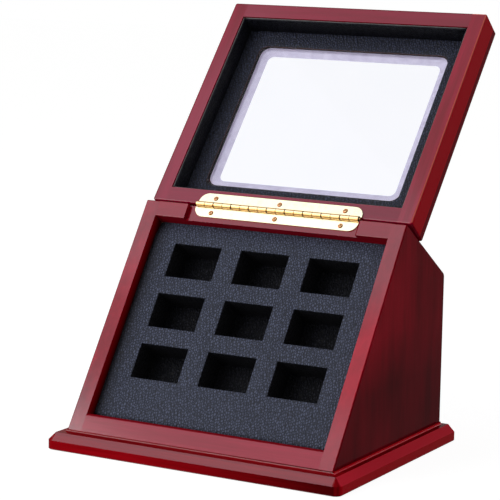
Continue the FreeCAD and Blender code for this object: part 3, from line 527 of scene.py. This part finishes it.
tray_skin = leatherette("tray_leatherette", srgb(83, 89, 110), srgb(25, 28, 38),
                        Depth=0.33 * MM, Dullness=0.5, Wall=TRAY_LEFT)
# The pockets' floor and wall skins are darker copies of the tray's: a painted shade inside the
# pockets.
pocket_floor_shaded = leatherette("shaded_pocket_floor_leatherette", srgb(24, 25, 32), srgb(3, 3, 5), 0.12,
                          Pebble=1.5 * MM, Depth=0.5 * MM)
pocket_wall_shaded = leatherette("shaded_pocket_wall_leatherette", srgb(36, 36, 40), srgb(18, 18, 21), 0.1)
lid_skin = leatherette("lid_leatherette", srgb(60, 64, 84), srgb(10, 11, 17),
                       Pebble=1.4 * MM, Depth=0.4 * MM)
pad_skin = leatherette("pad_leatherette", srgb(24, 25, 34), srgb(8, 8, 12), 0.12,
                       Pebble=1.5 * MM)
print("leatherettes:", [m.name for m in bpy.data.materials if m.name.endswith("leatherette")])

# %% [markdown]
# ## Felt, backing and acrylic
#
# Felt and the backings are matt, with a colour that varies from fibre to fibre. The window is
# clear acrylic with a low index, so that the white behind shows through evenly. Its bevel is
# ground: rough, pale lavender and only partly clear.

# %% Felt and backings


def fibrous(name, scale, detail, dark, light, roughness):
    """A matt material whose colour varies from fibre to fibre."""
    material, maker, shader = new_material(name)
    fibres = maker.noise(object_point(maker), scale, detail)
    maker.link(maker.mix(fibres, dark, light), shader.inputs["Base Color"])
    set_values(shader, Roughness=roughness)
    return material, maker, shader, fibres


felt_skin, maker, shader, tufts = fibrous("black_felt", 900.0, 3.0, srgb(14, 14, 16),
                                          srgb(52, 52, 56), 1.0)
fuzz = maker.add("ShaderNodeBump", inputs={"Strength": 0.8, "Distance": 0.3 * MM,
                                           "Height": tufts})
maker.link(fuzz.outputs[0], shader.inputs["Normal"])
set_values(shader, Sheen_Weight=0.3)
backing_skin = fibrous("liner_backing", 700.0, 2.0, srgb(60, 38, 38), srgb(126, 90, 84), 0.9)[0]
backing_grey = fibrous("pad_backing", 500.0, 2.0, srgb(70, 74, 76), srgb(150, 154, 150), 0.8)[0]
print("fibrous:", felt_skin.name, backing_skin.name, backing_grey.name)

# %% Clear and frosted acrylic
clear_glass, maker, shader = new_material("clear_acrylic")
haze = maker.noise(object_point(maker), 30.0, 2.0)
maker.link(maker.mix(haze, srgb(245, 246, 251), srgb(248, 249, 253)),
           shader.inputs["Base Color"])
maker.link(maker.span(haze, 0.3, 0.7, 0.0, 0.03), shader.inputs["Roughness"])
set_values(shader, Transmission_Weight=1.0, IOR=1.12)

frosted_glass, maker, shader = new_material("frosted_bevel")
grind = maker.noise(object_point(maker), 160.0, 4.0)
maker.link(maker.mix(maker.span(grind, 0.3, 0.7), srgb(176, 168, 198), srgb(202, 196, 220)),
           shader.inputs["Base Color"])
maker.link(maker.span(grind, 0.3, 0.7, 0.45, 0.7), shader.inputs["Roughness"])
set_values(shader, Transmission_Weight=0.35, IOR=1.49)
print("acrylic:", clear_glass.name, frosted_glass.name)

# %% [markdown]
# ## Brass and steel
#
# The metal is paler where its flat leaf faces out, a painted highlight, and golden where it curls
# round the pin. Tarnish lies in soft clouds, painted shade darkens it where two surfaces nearly
# meet, and a fine brushing varies the roughness. Dark lines across the curls mark the joints
# between knuckles. The screws are a redder brass, paler on the level top of each head, a painted
# highlight, with painted shade on the side that looks away from the light.

# %% Brass group
LEAF_OUTWARD = (0.0, -0.8, 0.6)
LEAF_FLAT = (0.985, 0.997)
metal_tarnish_and_light, given, put = new_group(
    "metal_tarnish_and_light",
    [("Color", "Color", (0.9, 0.7, 0.38, 1)), ("Curved", "Color", (0.7, 0.4, 0.1, 1)),
     ("Tarnish", "Color", (0.6, 0.36, 0.12, 1)), ("Polish", "Float", 0.22),
     ("Seam", "Color", (0.1, 0.04, 0.01, 1)), ("Seam Start", "Float", 0.0),
     ("Seam Pitch", "Float", 1.0), ("Seam Width", "Float", 0.0), ("Grime", "Float", 0.8),
     ("Dull Side", "Vector", (0, 0, 0))],
    [("Color", "Color"), ("Roughness", "Float")])
maker = Tree(metal_tarnish_and_light)
coordinates = maker.add("ShaderNodeTexCoord").outputs
point, outward = coordinates["Object"], coordinates["Normal"]
# Faces that look out like the leaf take the pale Color, a painted highlight; the rest take the
# golden Curved colour.
flat = maker.span(maker.dot(outward, LEAF_OUTWARD), *LEAF_FLAT)
print("handled metal takes", len(given) - 1, "inputs")

# %% Joints between knuckles
THINNER, FAINTER = 0.7, 0.8
turns = maker.math("SUBTRACT", maker.split(point)["X"], given["Seam Start"])
turns = maker.math("DIVIDE", turns, given["Seam Pitch"])
pair_gap = maker.math("PINGPONG", turns, 0.5)
knuckle_gap = maker.math("SUBTRACT", 0.5, pair_gap)
half_width = maker.math("DIVIDE", given["Seam Width"], given["Seam Pitch"])
pair_line = maker.math("LESS_THAN", pair_gap, half_width)
knuckle_line = maker.math("LESS_THAN", knuckle_gap, maker.times(half_width, THINNER))
lines = maker.math("MAXIMUM", pair_line, maker.times(knuckle_line, FAINTER))
lines = maker.times(lines, maker.without(flat))
metal_colour = maker.mix(lines, maker.mix(flat, given["Curved"], given["Color"]), given["Seam"])

# %% Tarnish, and painted shade in crevices and on the shaded side
TARNISH = (0.45, 0.8, 0.0, 0.35)
CREVICE_SHADE_REACH = 0.6 * MM
CREVICE_SHADE_SPAN = (0.35, 0.9, 1.0, 0.0)
AWAY_SHADE_SPAN = (0.03, 0.15, 0.0, 0.92)
tarnish = maker.span(maker.noise(point, 260.0, 3.0), *TARNISH)
metal_colour = maker.mix(tarnish, metal_colour, given["Tarnish"])
# Painted shade: an occlusion test mixes in the Seam colour where two surfaces nearly meet.
open_air = maker.add("ShaderNodeAmbientOcclusion", samples=8,
                     inputs={"Distance": CREVICE_SHADE_REACH}).outputs["AO"]
crevice_shade = maker.times(maker.span(open_air, *CREVICE_SHADE_SPAN), given["Grime"])
metal_colour = maker.mix(crevice_shade, metal_colour, given["Seam"])
# Painted shade: faces that look towards the shaded side, away from the light, take the Seam
# colour.
away_shade = maker.span(maker.dot(outward, given["Dull Side"]), *AWAY_SHADE_SPAN)
maker.link(maker.mix(away_shade, metal_colour, given["Seam"]), put["Color"])

# %% Brushing
BRUSHING = (120.0, 2600.0, 2600.0)
BRUSH_DEPTH = 0.12
brushed = maker.add("ShaderNodeMapping", inputs={0: point, 3: BRUSHING}).outputs[0]
brush = maker.noise(brushed, 1.0, 1.0)
maker.link(maker.math("ADD", given["Polish"], maker.times(brush, BRUSH_DEPTH)),
           put["Roughness"])
print("handled metal:", len(metal_tarnish_and_light.nodes), "nodes")

# %% Metals


def metal(name, colour, curved, tarnish, polish, **choices):
    """Polished metal with a little tarnish, fine polishing marks and dark joints on curves, with a
    painted highlight where it faces out flat and painted shade in crevices and on a shaded side.
    """
    material, maker, shader = new_material(name)
    skin = use_group(maker, metal_tarnish_and_light, Color=colour, Curved=curved, Tarnish=tarnish,
                     Polish=polish, **choices)
    maker.link(skin["Color"], shader.inputs["Base Color"])
    maker.link(skin["Roughness"], shader.inputs["Roughness"])
    set_values(shader, Metallic=1.0)
    return material


KNUCKLE_PITCH = 13.256 * MM
KNUCKLE_START = -58.15 * MM
AWAY_FROM_LIGHT = (0.75, -0.37, -0.55)
# Each metal's first colour shows where it faces out flat: a painted highlight.
brass = metal("polished_brass", srgb(224, 219, 182), srgb(214, 168, 108), srgb(212, 194, 144),
              0.20, Seam_Start=KNUCKLE_START, Seam_Pitch=KNUCKLE_PITCH, Seam_Width=0.5 * MM)
# The screws take painted shade in their crevices and on the side away from the light.
screw_brass = metal("copper_brass", srgb(255, 208, 150), srgb(186, 100, 50), srgb(140, 72, 30),
                    0.25, Grime=1.0, Dull_Side=AWAY_FROM_LIGHT)
steel = metal("zinc_steel", srgb(176, 176, 178), srgb(176, 176, 178), srgb(120, 120, 122), 0.35)
print("metals:", [one.name for one in (brass, screw_brass, steel)])

# %% [markdown]
# ## Dressing the solids
#
# The front slopes at one angle and the open lid leans back a little further from the vertical.
# Both give a direction up the slope and one out of it. Grain runs along each board: across on
# the rails, up the lid's side rails and upright on the end panels.

# %% Directions and materials on the solids
FRONT_SLOPE = 56.1
LID_LEAN = 6.176
FACE_ANGLE = math.radians(FRONT_SLOPE)
LID_ANGLE = math.radians(FRONT_SLOPE - LID_LEAN)
ACROSS = Vector((1.0, 0.0, 0.0))
UPRIGHT = Vector((0.0, 0.0, 1.0))
UP_FACE = Vector((0.0, math.cos(FACE_ANGLE), math.sin(FACE_ANGLE)))
OUT_FACE = ACROSS.cross(UP_FACE)
UP_LID = Vector((0.0, math.cos(LID_ANGLE), math.sin(LID_ANGLE)))
OUT_LID = ACROSS.cross(UP_LID)
TRAY_SINK = 0.6 * MM
tray_points = [vertex.co for vertex in nodes["tray_cover"].data.vertices]
TRAY_LEVEL = max(point.dot(OUT_FACE) for point in tray_points) - TRAY_SINK
DEEP, BRIGHT = srgb(126, 6, 22), srgb(166, 14, 38)
ROSE_DEEP, ROSE = srgb(134, 8, 28), srgb(176, 18, 48)


def dress(material, *names):
    """Gives CAD nodes a material in place of the plain one."""
    for name in names:
        slots = nodes[name].data.materials
        if len(slots):
            for i in range(len(slots)):
                slots[i] = material
        else:
            slots.append(material)


# Below, the brighter red given for faces that look right is a painted light, and a pale red for
# rounded edges is a painted highlight.
dress(lacquer("lacquer_header", DEEP, BRIGHT, ACROSS, Gloss=0.93, Ridge=1.0), "front_header")
dress(lacquer("lacquer_back", DEEP, BRIGHT, ACROSS), "rear_slope_panel", "back_panel")
dress(lacquer("lacquer_sill", ROSE_DEEP, ROSE, ACROSS, Contrast=0.7, Gloss=0.72), "front_sill")
dress(lacquer("lacquer_front_rail", srgb(124, 6, 36), srgb(158, 14, 56), ACROSS, Contrast=0.7),
      "lid_front_rail")
dress(lacquer("lacquer_plinth", srgb(118, 2, 8), srgb(160, 8, 20), ACROSS, Contrast=0.8,
              Streak_Width=4 * MM, Edge=srgb(240, 8, 32), Arris=srgb(252, 44, 66), Gloss=0.85,
              Moulded=1.0, Side_Tint=1.0), "plinth_board")
dress(lacquer("lacquer_hinge_rail", srgb(122, 6, 34), srgb(156, 12, 50), ACROSS, Gloss=0.7),
      "lid_hinge_rail")
dress(lacquer("lacquer_left_rail", srgb(124, 8, 32), srgb(160, 16, 54), UP_LID, Contrast=0.7,
              Gloss=0.7), "lid_left_rail")
dress(lacquer("lacquer_right_rail", srgb(134, 6, 34), srgb(176, 12, 54), UP_LID, Contrast=0.9,
              Streak_Width=7 * MM, Edge=srgb(236, 8, 32), Arris=srgb(250, 128, 108), Gloss=0.84,
              Side_Tint=1.0), "lid_right_rail")
dress(lacquer("lacquer_panel", DEEP, BRIGHT, UP_LID, Gloss=0.5), "lid_top_panel")
dress(lacquer("lacquer_upright", srgb(116, 5, 20), srgb(172, 13, 36), UPRIGHT, Contrast=0.6,
              Streak_Width=16 * MM, Cloud=0.5, Deepen=1.0, Stile=1.0), "right_side_panel")
dress(lacquer("lacquer_left", DEEP, BRIGHT, UPRIGHT, Contrast=1.0, Streak_Width=16 * MM,
              Edge=srgb(194, 11, 25), Side_Tint=1.0, Out=OUT_FACE, Foot=TRAY_LEVEL, Stile=1.0),
      "left_side_panel")
pale_wood = lacquer("bare_beech", srgb(176, 140, 98), srgb(206, 172, 128), ACROSS,
                    Arris=srgb(190, 155, 112), Gloss=0.0)
dress(pale_wood, "left_tray_ledge", "right_tray_ledge", "upper_tray_ledge", "lower_tray_ledge",
      "tray_back_board", "frame_dowels", "lid_dowels")
dress(brass, "hinge_body_leaf", "hinge_lid_leaf", "hinge_pin")
dress(screw_brass, "hinge_body_screws", "hinge_lid_screws")
dress(steel, "plinth_screws")
print("tray level:", round(TRAY_LEVEL / MM, 2), "mm")

# %% [markdown]
# ## Pieces with meshes of their own
#
# The soft pieces are drawn in the same tilted frames as the solids. `Slope` turns a point given
# across, up the slope and out of it into the case's own axes, and it reads from a CAD node how
# far that node reaches in each direction, so no place is written down twice.

# %% Tilted frames


class Slope:
    """A tilted frame with X across, s up the slope and n out of it."""

    def __init__(self, up_slope, outwards):
        self.up_slope = up_slope
        self.outwards = outwards

    def point(self, x, s, n):
        return ACROSS * x + self.up_slope * s + self.outwards * n

    def reach(self, name):
        """A node's lowest and highest x, s and n."""
        points = [vertex.co for vertex in nodes[name].data.vertices]
        spans = []
        for axis in (ACROSS, self.up_slope, self.outwards):
            values = [point.dot(axis) for point in points]
            spans.append((min(values), max(values)))
        return spans


face = Slope(UP_FACE, OUT_FACE)
lid = Slope(UP_LID, OUT_LID)
print("the front slopes at", FRONT_SLOPE, "degrees")


def new_piece(name, mesh_data, material, body, smooth=True):
    """A piece from vertices and faces, with one material, that rides on a body."""
    mesh = bpy.data.meshes.new(name)
    mesh.from_pydata(mesh_data[0], [], mesh_data[1])
    mesh.validate()
    mesh.update()
    mesh.materials.append(material)
    for polygon in mesh.polygons:
        polygon.use_smooth = smooth
    piece = bpy.data.objects.new(name, mesh)
    bpy.context.scene.collection.objects.link(piece)
    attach(piece, body)
    return piece


# %% [markdown]
# ## The tray's leatherette
#
# The cover is one skin over foam: a field that swells a little between the pockets, turns over a
# small lip at each mouth and runs down the pocket's walls. Grid lines gather near each mouth, so
# that the lip is round where it needs to be and the field stays light. The outer edge is tucked
# down against the wood, furthest along the header. The walls take a plainer material, because
# stretched vinyl loses its grain, and a darker one, a painted shade inside the pockets.

# %% Tray cover
POCKET = (35.0 * MM, 23.7 * MM)
PITCH = (50.0 * MM, 36.0 * MM)
LIP = 0.55 * MM
LIP_STEPS = (0.0, 0.1, 0.3, 0.62, 1.0, 1.8, 4.0)
SWELL = 0.5 * MM
SWELL_REACH = 7 * MM
CELL = 3.2 * MM
SIDE_TUCK, SIDE_DROP = 3.0 * MM, 0.9 * MM
LOW_TUCK, LOW_DROP = 3.5 * MM, 1.6 * MM
HIGH_TUCK, HIGH_DROP = 12.5 * MM, 2.6 * MM
TUCK_STEPS = [step * MM for step in (0.8, 1.7, 2.7, 3.8, 5.2, 6.8)]
WALL_BANDS = 5
WALL_TILT = 0.3
(cover_left, cover_right), (cover_low, cover_high), (_, cover_top) = face.reach("tray_cover")
(_, _), (lining_low, lining_high), (_, floor_top) = face.reach("pocket_lining")
pocket_row = (lining_low + lining_high) / 2
pocket_columns = [column * PITCH[0] for column in (-1, 0, 1)]
pocket_rows = [pocket_row + row * PITCH[1] for row in (-1, 0, 1)]


def grid_lines(low, high, centres, half, edge_steps):
    """Lines from low to high that gather at the pockets' edges and at both ends."""
    lines = {low, high}
    for centre in centres:
        for side in (-1, 1):
            lines.update(centre + side * (half + step * LIP) for step in LIP_STEPS)
    lines.update(low + step for step in edge_steps)
    lines.update(high - step for step in edge_steps)
    ordered = sorted(lines)
    filled = []
    for start, end in zip(ordered, ordered[1:]):
        parts = max(1, round((end - start) / CELL))
        filled += [start + (end - start) * i / parts for i in range(parts)]
    return filled + [high]


def smooth_step(value):
    """A ramp from 0 to 1 with soft ends."""
    value = min(1.0, max(0.0, value))
    return value * value * (3 - 2 * value)


def cover_height(x, s):
    """Height of the field at one point, from its distance to pockets and edges."""
    gaps = []
    for column in pocket_columns:
        for row in pocket_rows:
            dx = max(0.0, abs(x - column) - POCKET[0] / 2)
            ds = max(0.0, abs(s - row) - POCKET[1] / 2)
            gaps.append(math.hypot(dx, ds))
    gap = min(gaps)
    height = cover_top - SWELL * 0.4 + SWELL * smooth_step(gap / SWELL_REACH)
    if gap < LIP:
        height -= LIP - math.sqrt(LIP * LIP - (LIP - gap) ** 2)
    side_gap = min(x - cover_left, cover_right - x)
    height -= SIDE_DROP * (1 - smooth_step(side_gap / SIDE_TUCK))
    height -= LOW_DROP * (1 - smooth_step((s - cover_low) / LOW_TUCK))
    height -= HIGH_DROP * max(0.0, 1 - (cover_high - s) / HIGH_TUCK) ** 1.3
    return height


# %% Cover grid
columns = grid_lines(cover_left, cover_right, pocket_columns, POCKET[0] / 2, TUCK_STEPS)
rows = grid_lines(cover_low, cover_high, pocket_rows, POCKET[1] / 2, TUCK_STEPS)


def in_pocket(x, s):
    """Whether a point of the slope lies over a pocket."""
    return any(abs(x - column) < POCKET[0] / 2 for column in pocket_columns) and \
        any(abs(s - row) < POCKET[1] / 2 for row in pocket_rows)


points, quads, known = [], [], {}


def grid_point(i, j):
    """The number of one grid point, which is made when a face first needs it."""
    if (i, j) not in known:
        known[i, j] = len(points)
        points.append(face.point(columns[i], rows[j], cover_height(columns[i], rows[j])))
    return known[i, j]


for j in range(len(rows) - 1):
    for i in range(len(columns) - 1):
        if not in_pocket((columns[i] + columns[i + 1]) / 2, (rows[j] + rows[j + 1]) / 2):
            quads.append((grid_point(i, j), grid_point(i + 1, j), grid_point(i + 1, j + 1),
                          grid_point(i, j + 1)))
print("cover grid:", len(columns), "by", len(rows), "lines")

# %% Pocket walls


def nearest(lines, value):
    """The number of the grid line nearest to a place."""
    return min(range(len(lines)), key=lambda i: abs(lines[i] - value))


def mouth(column, row):
    """The grid points round one pocket's mouth, in order."""
    left, right = (nearest(columns, column + side * POCKET[0] / 2) for side in (-1, 1))
    low, high = (nearest(rows, row + side * POCKET[1] / 2) for side in (-1, 1))
    return [grid_point(i, low) for i in range(left, right)] + \
        [grid_point(right, j) for j in range(low, high)] + \
        [grid_point(i, high) for i in range(right, left, -1)] + \
        [grid_point(left, j) for j in range(high, low, -1)]


wall_depth = cover_top - floor_top - LIP
for column in pocket_columns:
    for row in pocket_rows:
        ring = mouth(column, row)
        for _ in range(WALL_BANDS):
            first = len(points)
            points += [points[i] - OUT_FACE * (wall_depth / WALL_BANDS) for i in ring]
            lower = list(range(first, len(points)))
            quads += [(ring[k - 1], ring[k], lower[k], lower[k - 1]) for k in range(len(ring))]
            ring = lower
mesh = bpy.data.meshes.new("tray_cover_skin")
mesh.from_pydata(points, [], quads)
mesh.update()
mesh.materials.append(tray_skin)
mesh.materials.append(pocket_wall_shaded)
for polygon in mesh.polygons:
    polygon.use_smooth = True
    polygon.material_index = 1 if abs(polygon.normal.dot(OUT_FACE)) < WALL_TILT else 0
tray_cover = bpy.data.objects.new("tray_cover_skin", mesh)
bpy.context.scene.collection.objects.link(tray_cover)
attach(tray_cover, "case")
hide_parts("tray_cover", "tray_foam")
print("tray cover:", len(mesh.polygons), "faces")

# %% [markdown]
# ## The pockets' floors
#
# Each floor is a thin pad of a darker copy of the leatherette, a painted shade at the bottom of
# the pocket, crowned in the middle and sunk at its edge, where the wall meets it.

# %% Pocket floors
FLOOR_CROWN = 0.5 * MM
FLOOR_SINK = 0.2 * MM
FLOOR_STEPS = 12
points = []
quads = []
for column in pocket_columns:
    for row in pocket_rows:
        first = len(points)
        for j in range(FLOOR_STEPS + 1):
            for i in range(FLOOR_STEPS + 1):
                u, v = 2 * i / FLOOR_STEPS - 1, 2 * j / FLOOR_STEPS - 1
                crown = FLOOR_CROWN * (1 - u ** 4) * (1 - v ** 4) - FLOOR_SINK
                points.append(face.point(column + u * POCKET[0] / 2, row + v * POCKET[1] / 2,
                                         floor_top + crown))
        for j in range(FLOOR_STEPS):
            for i in range(FLOOR_STEPS):
                corner = first + j * (FLOOR_STEPS + 1) + i
                quads.append((corner, corner + 1, corner + FLOOR_STEPS + 2,
                              corner + FLOOR_STEPS + 1))
pocket_floors = new_piece("pocket_floors", (points, quads), pocket_floor_shaded, "case")
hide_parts("pocket_lining")
print("pocket floors:", len(quads), "faces")

# %% [markdown]
# ## The lid's lining
#
# The lining has a flat floor round the window and a padded strip on each rail. The floor is
# turned down at its outer edge and at the window, where its cut edge shows a thin pale line of
# backing. Each strip is a long pad: flat against the rail and softly crowned towards the hollow.
# A slight ripple along it keeps it from looking machined, and its board shows at the top.

# %% Lid lining
CUT_RADIUS = 6.0 * MM
CORNER_STEPS = 8
SHARP = 0.1 * MM
TURN = 0.3 * MM
OUTER_DROP, CUT_DROP = 0.3 * MM, 0.35 * MM
FLOOR_RINGS = ((0.1, 0.12), (0.3, 0.0), (0.6, 0.0), (0.85, 0.05), (1.0, 0.12))


def rounded_loop(left, right, low, high, radius):
    """Points round a rectangle with rounded corners."""
    loop = []
    for x, s, start in ((right - radius, low + radius, -90), (right - radius, high - radius, 0),
                        (left + radius, high - radius, 90), (left + radius, low + radius, 180)):
        for step in range(CORNER_STEPS + 1):
            turn = math.radians(start + 90 * step / CORNER_STEPS)
            loop.append((x + radius * math.cos(turn), s + radius * math.sin(turn)))
    return loop


def band(points, quads, slope, loops):
    """Joins loops of equal length, each given as (x, s, n) points, with quads."""
    first = len(points)
    count = len(loops[0])
    for loop in loops:
        points += [slope.point(*place) for place in loop]
    for ring in range(len(loops) - 1):
        for i in range(count):
            a = first + ring * count + i
            b = first + ring * count + (i + 1) % count
            quads.append((a, b, b + count, a + count))


def at_height(loop, n):
    return [(x, s, n) for x, s in loop]


(liner_left, liner_right), (liner_low, liner_high), (liner_under, liner_top) = \
    lid.reach("lid_liner_floor")
cut_points = [(co.x, co.dot(UP_LID)) for co in
              (vertex.co for vertex in nodes["lid_liner_floor"].data.vertices)
              if liner_left + MM < co.x < liner_right - MM]
cut = (min(x for x, s in cut_points), max(x for x, s in cut_points),
       min(s for x, s in cut_points), max(s for x, s in cut_points))


def blend_loops(outer, inner, share):
    """A loop between two loops."""
    return [(a[0] + (b[0] - a[0]) * share, a[1] + (b[1] - a[1]) * share)
            for a, b in zip(outer, inner)]


whole = rounded_loop(liner_left, liner_right, liner_low, liner_high, SHARP)
brink = rounded_loop(cut[0] - TURN, cut[1] + TURN, cut[2] - TURN, cut[3] + TURN, CUT_RADIUS + TURN)
edge = rounded_loop(*cut, CUT_RADIUS)
points, quads = [], []
band(points, quads, lid,
     [at_height(whole, liner_top - OUTER_DROP)]
     + [at_height(blend_loops(whole, brink, share), liner_top - drop * MM)
        for share, drop in FLOOR_RINGS]
     + [at_height(edge, liner_top - CUT_DROP)])
liner_floor = new_piece("liner_floor_skin", (points, quads), lid_skin, "lid")
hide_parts("lid_liner_floor")

points, quads = [], []
band(points, quads, lid, [at_height(edge, liner_top - CUT_DROP), at_height(edge, liner_under)])
backing = new_piece("liner_backing_edge", (points, quads), backing_skin, "lid")
print("lid lining:", len(liner_floor.data.polygons), "faces")

# %% [markdown]
# A pad's section is given as shares of its thickness and of its height: up the rail, over the
# grey board at the top, round the crowned front and back along the floor.

# %% Lid pads
PAD_TOP = [(0.0, 0.0), (0.04, 1.0)]
PAD_SHOULDER = [(0.45 + 0.5 * math.cos(turn), 0.95 + 0.05 * math.sin(turn))
                for turn in (math.radians(90 - 15 * step) for step in range(7))]
PAD_FRONT = [(1.0, 0.8), (1.06, 0.55), (1.0, 0.25), (0.8, 0.04), (0.5, 0.0)]
PAD_SECTION = PAD_TOP + PAD_SHOULDER + PAD_FRONT
PAD_STATIONS = 48
RIPPLES = ((0.05, 1.7, 0.0), (0.03, 0.6, 1.0))


def pad_strip(name, node, run, inwards):
    """A long pad on one rail: run is the axis along it, inwards the way that it faces."""
    (left, right), (low, high), (under, top) = lid.reach(node)
    if run == "x":
        first, last, wall = left, right, (high if inwards < 0 else low)
        thick = high - low
    else:
        first, last, wall = low, high, (right if inwards < 0 else left)
        thick = right - left
    points, quads = [], []
    count = len(PAD_SECTION)
    for k in range(PAD_STATIONS + 1):
        along = first + (last - first) * k / PAD_STATIONS
        ripple = 1.0 + sum(size * math.sin(k * pace + start) for size, pace, start in RIPPLES)
        for depth, height in PAD_SECTION:
            offset = wall + inwards * thick * depth * ripple
            n = under + (top - under) * height
            place = (along, offset, n) if run == "x" else (offset, along, n)
            points.append(lid.point(*place))
    for k in range(PAD_STATIONS):
        for i in range(count):
            a, b = k * count + i, k * count + (i + 1) % count
            quads.append((a, b, b + count, a + count))
    quads.append(tuple(range(count)))
    quads.append(tuple(PAD_STATIONS * count + i for i in range(count)))
    piece = new_piece(name, (points, quads), pad_skin, "lid")
    piece.data.materials.append(backing_grey)
    for k in range(PAD_STATIONS):
        piece.data.polygons[k * count + 1].material_index = 1
    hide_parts(node)


pad_strip("left_pad", "lid_liner_left", "s", 1)
pad_strip("right_pad", "lid_liner_right", "s", -1)
pad_strip("front_pad", "lid_liner_front", "x", -1)
pad_strip("hinge_pad", "lid_liner_hinge", "x", 1)

# %% [markdown]
# ## The bevelled window
#
# The pane is one clear plate. Its outer side is ground to a wide frosted bevel all round, which
# reads as a lavender band, while the middle stays polished. The flange outside the bevel is
# covered in dark felt, a painted shade where the lid's lip lies in shade behind it. So the
# pane's mesh has three materials, chosen ring by ring.

# %% Window pane
FLANGE = 2.8 * MM
FLANGE_THICK = 2.0 * MM
BEVEL = 5.4 * MM
PANE_RADIUS, SEAT_RADIUS, TOP_RADIUS = 9.8 * MM, 6.8 * MM, 4.5 * MM
FROSTED, SHADED_FLANGE = 1, 2
(pane_left, pane_right), (pane_low, pane_high), (pane_outer, pane_inner) = lid.reach("window_pane")


def pane_loop(inset, radius):
    return rounded_loop(pane_left + inset, pane_right - inset, pane_low + inset, pane_high - inset,
                        radius)


points, quads = [], []
flange_outer = pane_inner - FLANGE_THICK
loops = [at_height(pane_loop(0, PANE_RADIUS), pane_inner),
         at_height(pane_loop(0, PANE_RADIUS), flange_outer),
         at_height(pane_loop(FLANGE, SEAT_RADIUS), flange_outer),
         at_height(pane_loop(FLANGE + BEVEL, TOP_RADIUS), pane_outer)]
band(points, quads, lid, loops)
around = len(loops[0])
quads.append(tuple(range(around)))
quads.append(tuple(range(3 * around, 4 * around)))
pane = new_piece("bevelled_pane", (points, quads), clear_glass, "lid", smooth=False)
pane.data.materials.append(frosted_glass)
pane.data.materials.append(felt_skin)
# The flange takes the black felt: a painted shade.
for i in range(2 * around):
    pane.data.polygons[i].material_index = SHADED_FLANGE
for i in range(2 * around, 3 * around):
    pane.data.polygons[i].material_index = FROSTED
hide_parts("window_pane")
print("pane:", len(pane.data.polygons), "faces")

# %% [markdown]
# ## Felt under the plinth
#
# The felt is a sheet glued into a shallow recess. It touches the table, so only its edge shows.

# %% Felt
EDGE = 0.4 * MM
FELT_RADIUS, EDGE_RADIUS = 1.4 * MM, 1.0 * MM
felt_low, felt_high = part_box("base_felt")
level = Slope(Vector((0, 1, 0)), UPRIGHT)
whole = rounded_loop(felt_low[0], felt_high[0], felt_low[1], felt_high[1], FELT_RADIUS)
inset = rounded_loop(felt_low[0] + EDGE, felt_high[0] - EDGE, felt_low[1] + EDGE,
                     felt_high[1] - EDGE, EDGE_RADIUS)
points, quads = [], []
around = len(whole)
band(points, quads, level,
     [at_height(inset, felt_low[2]), at_height(whole, felt_low[2] + EDGE),
      at_height(whole, felt_high[2] - EDGE), at_height(inset, felt_high[2])])
quads.append(tuple(range(around)))
quads.append(tuple(range(3 * around, 4 * around)))
felt = new_piece("felt_sheet", (points, quads), felt_skin, "case")
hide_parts("base_felt")
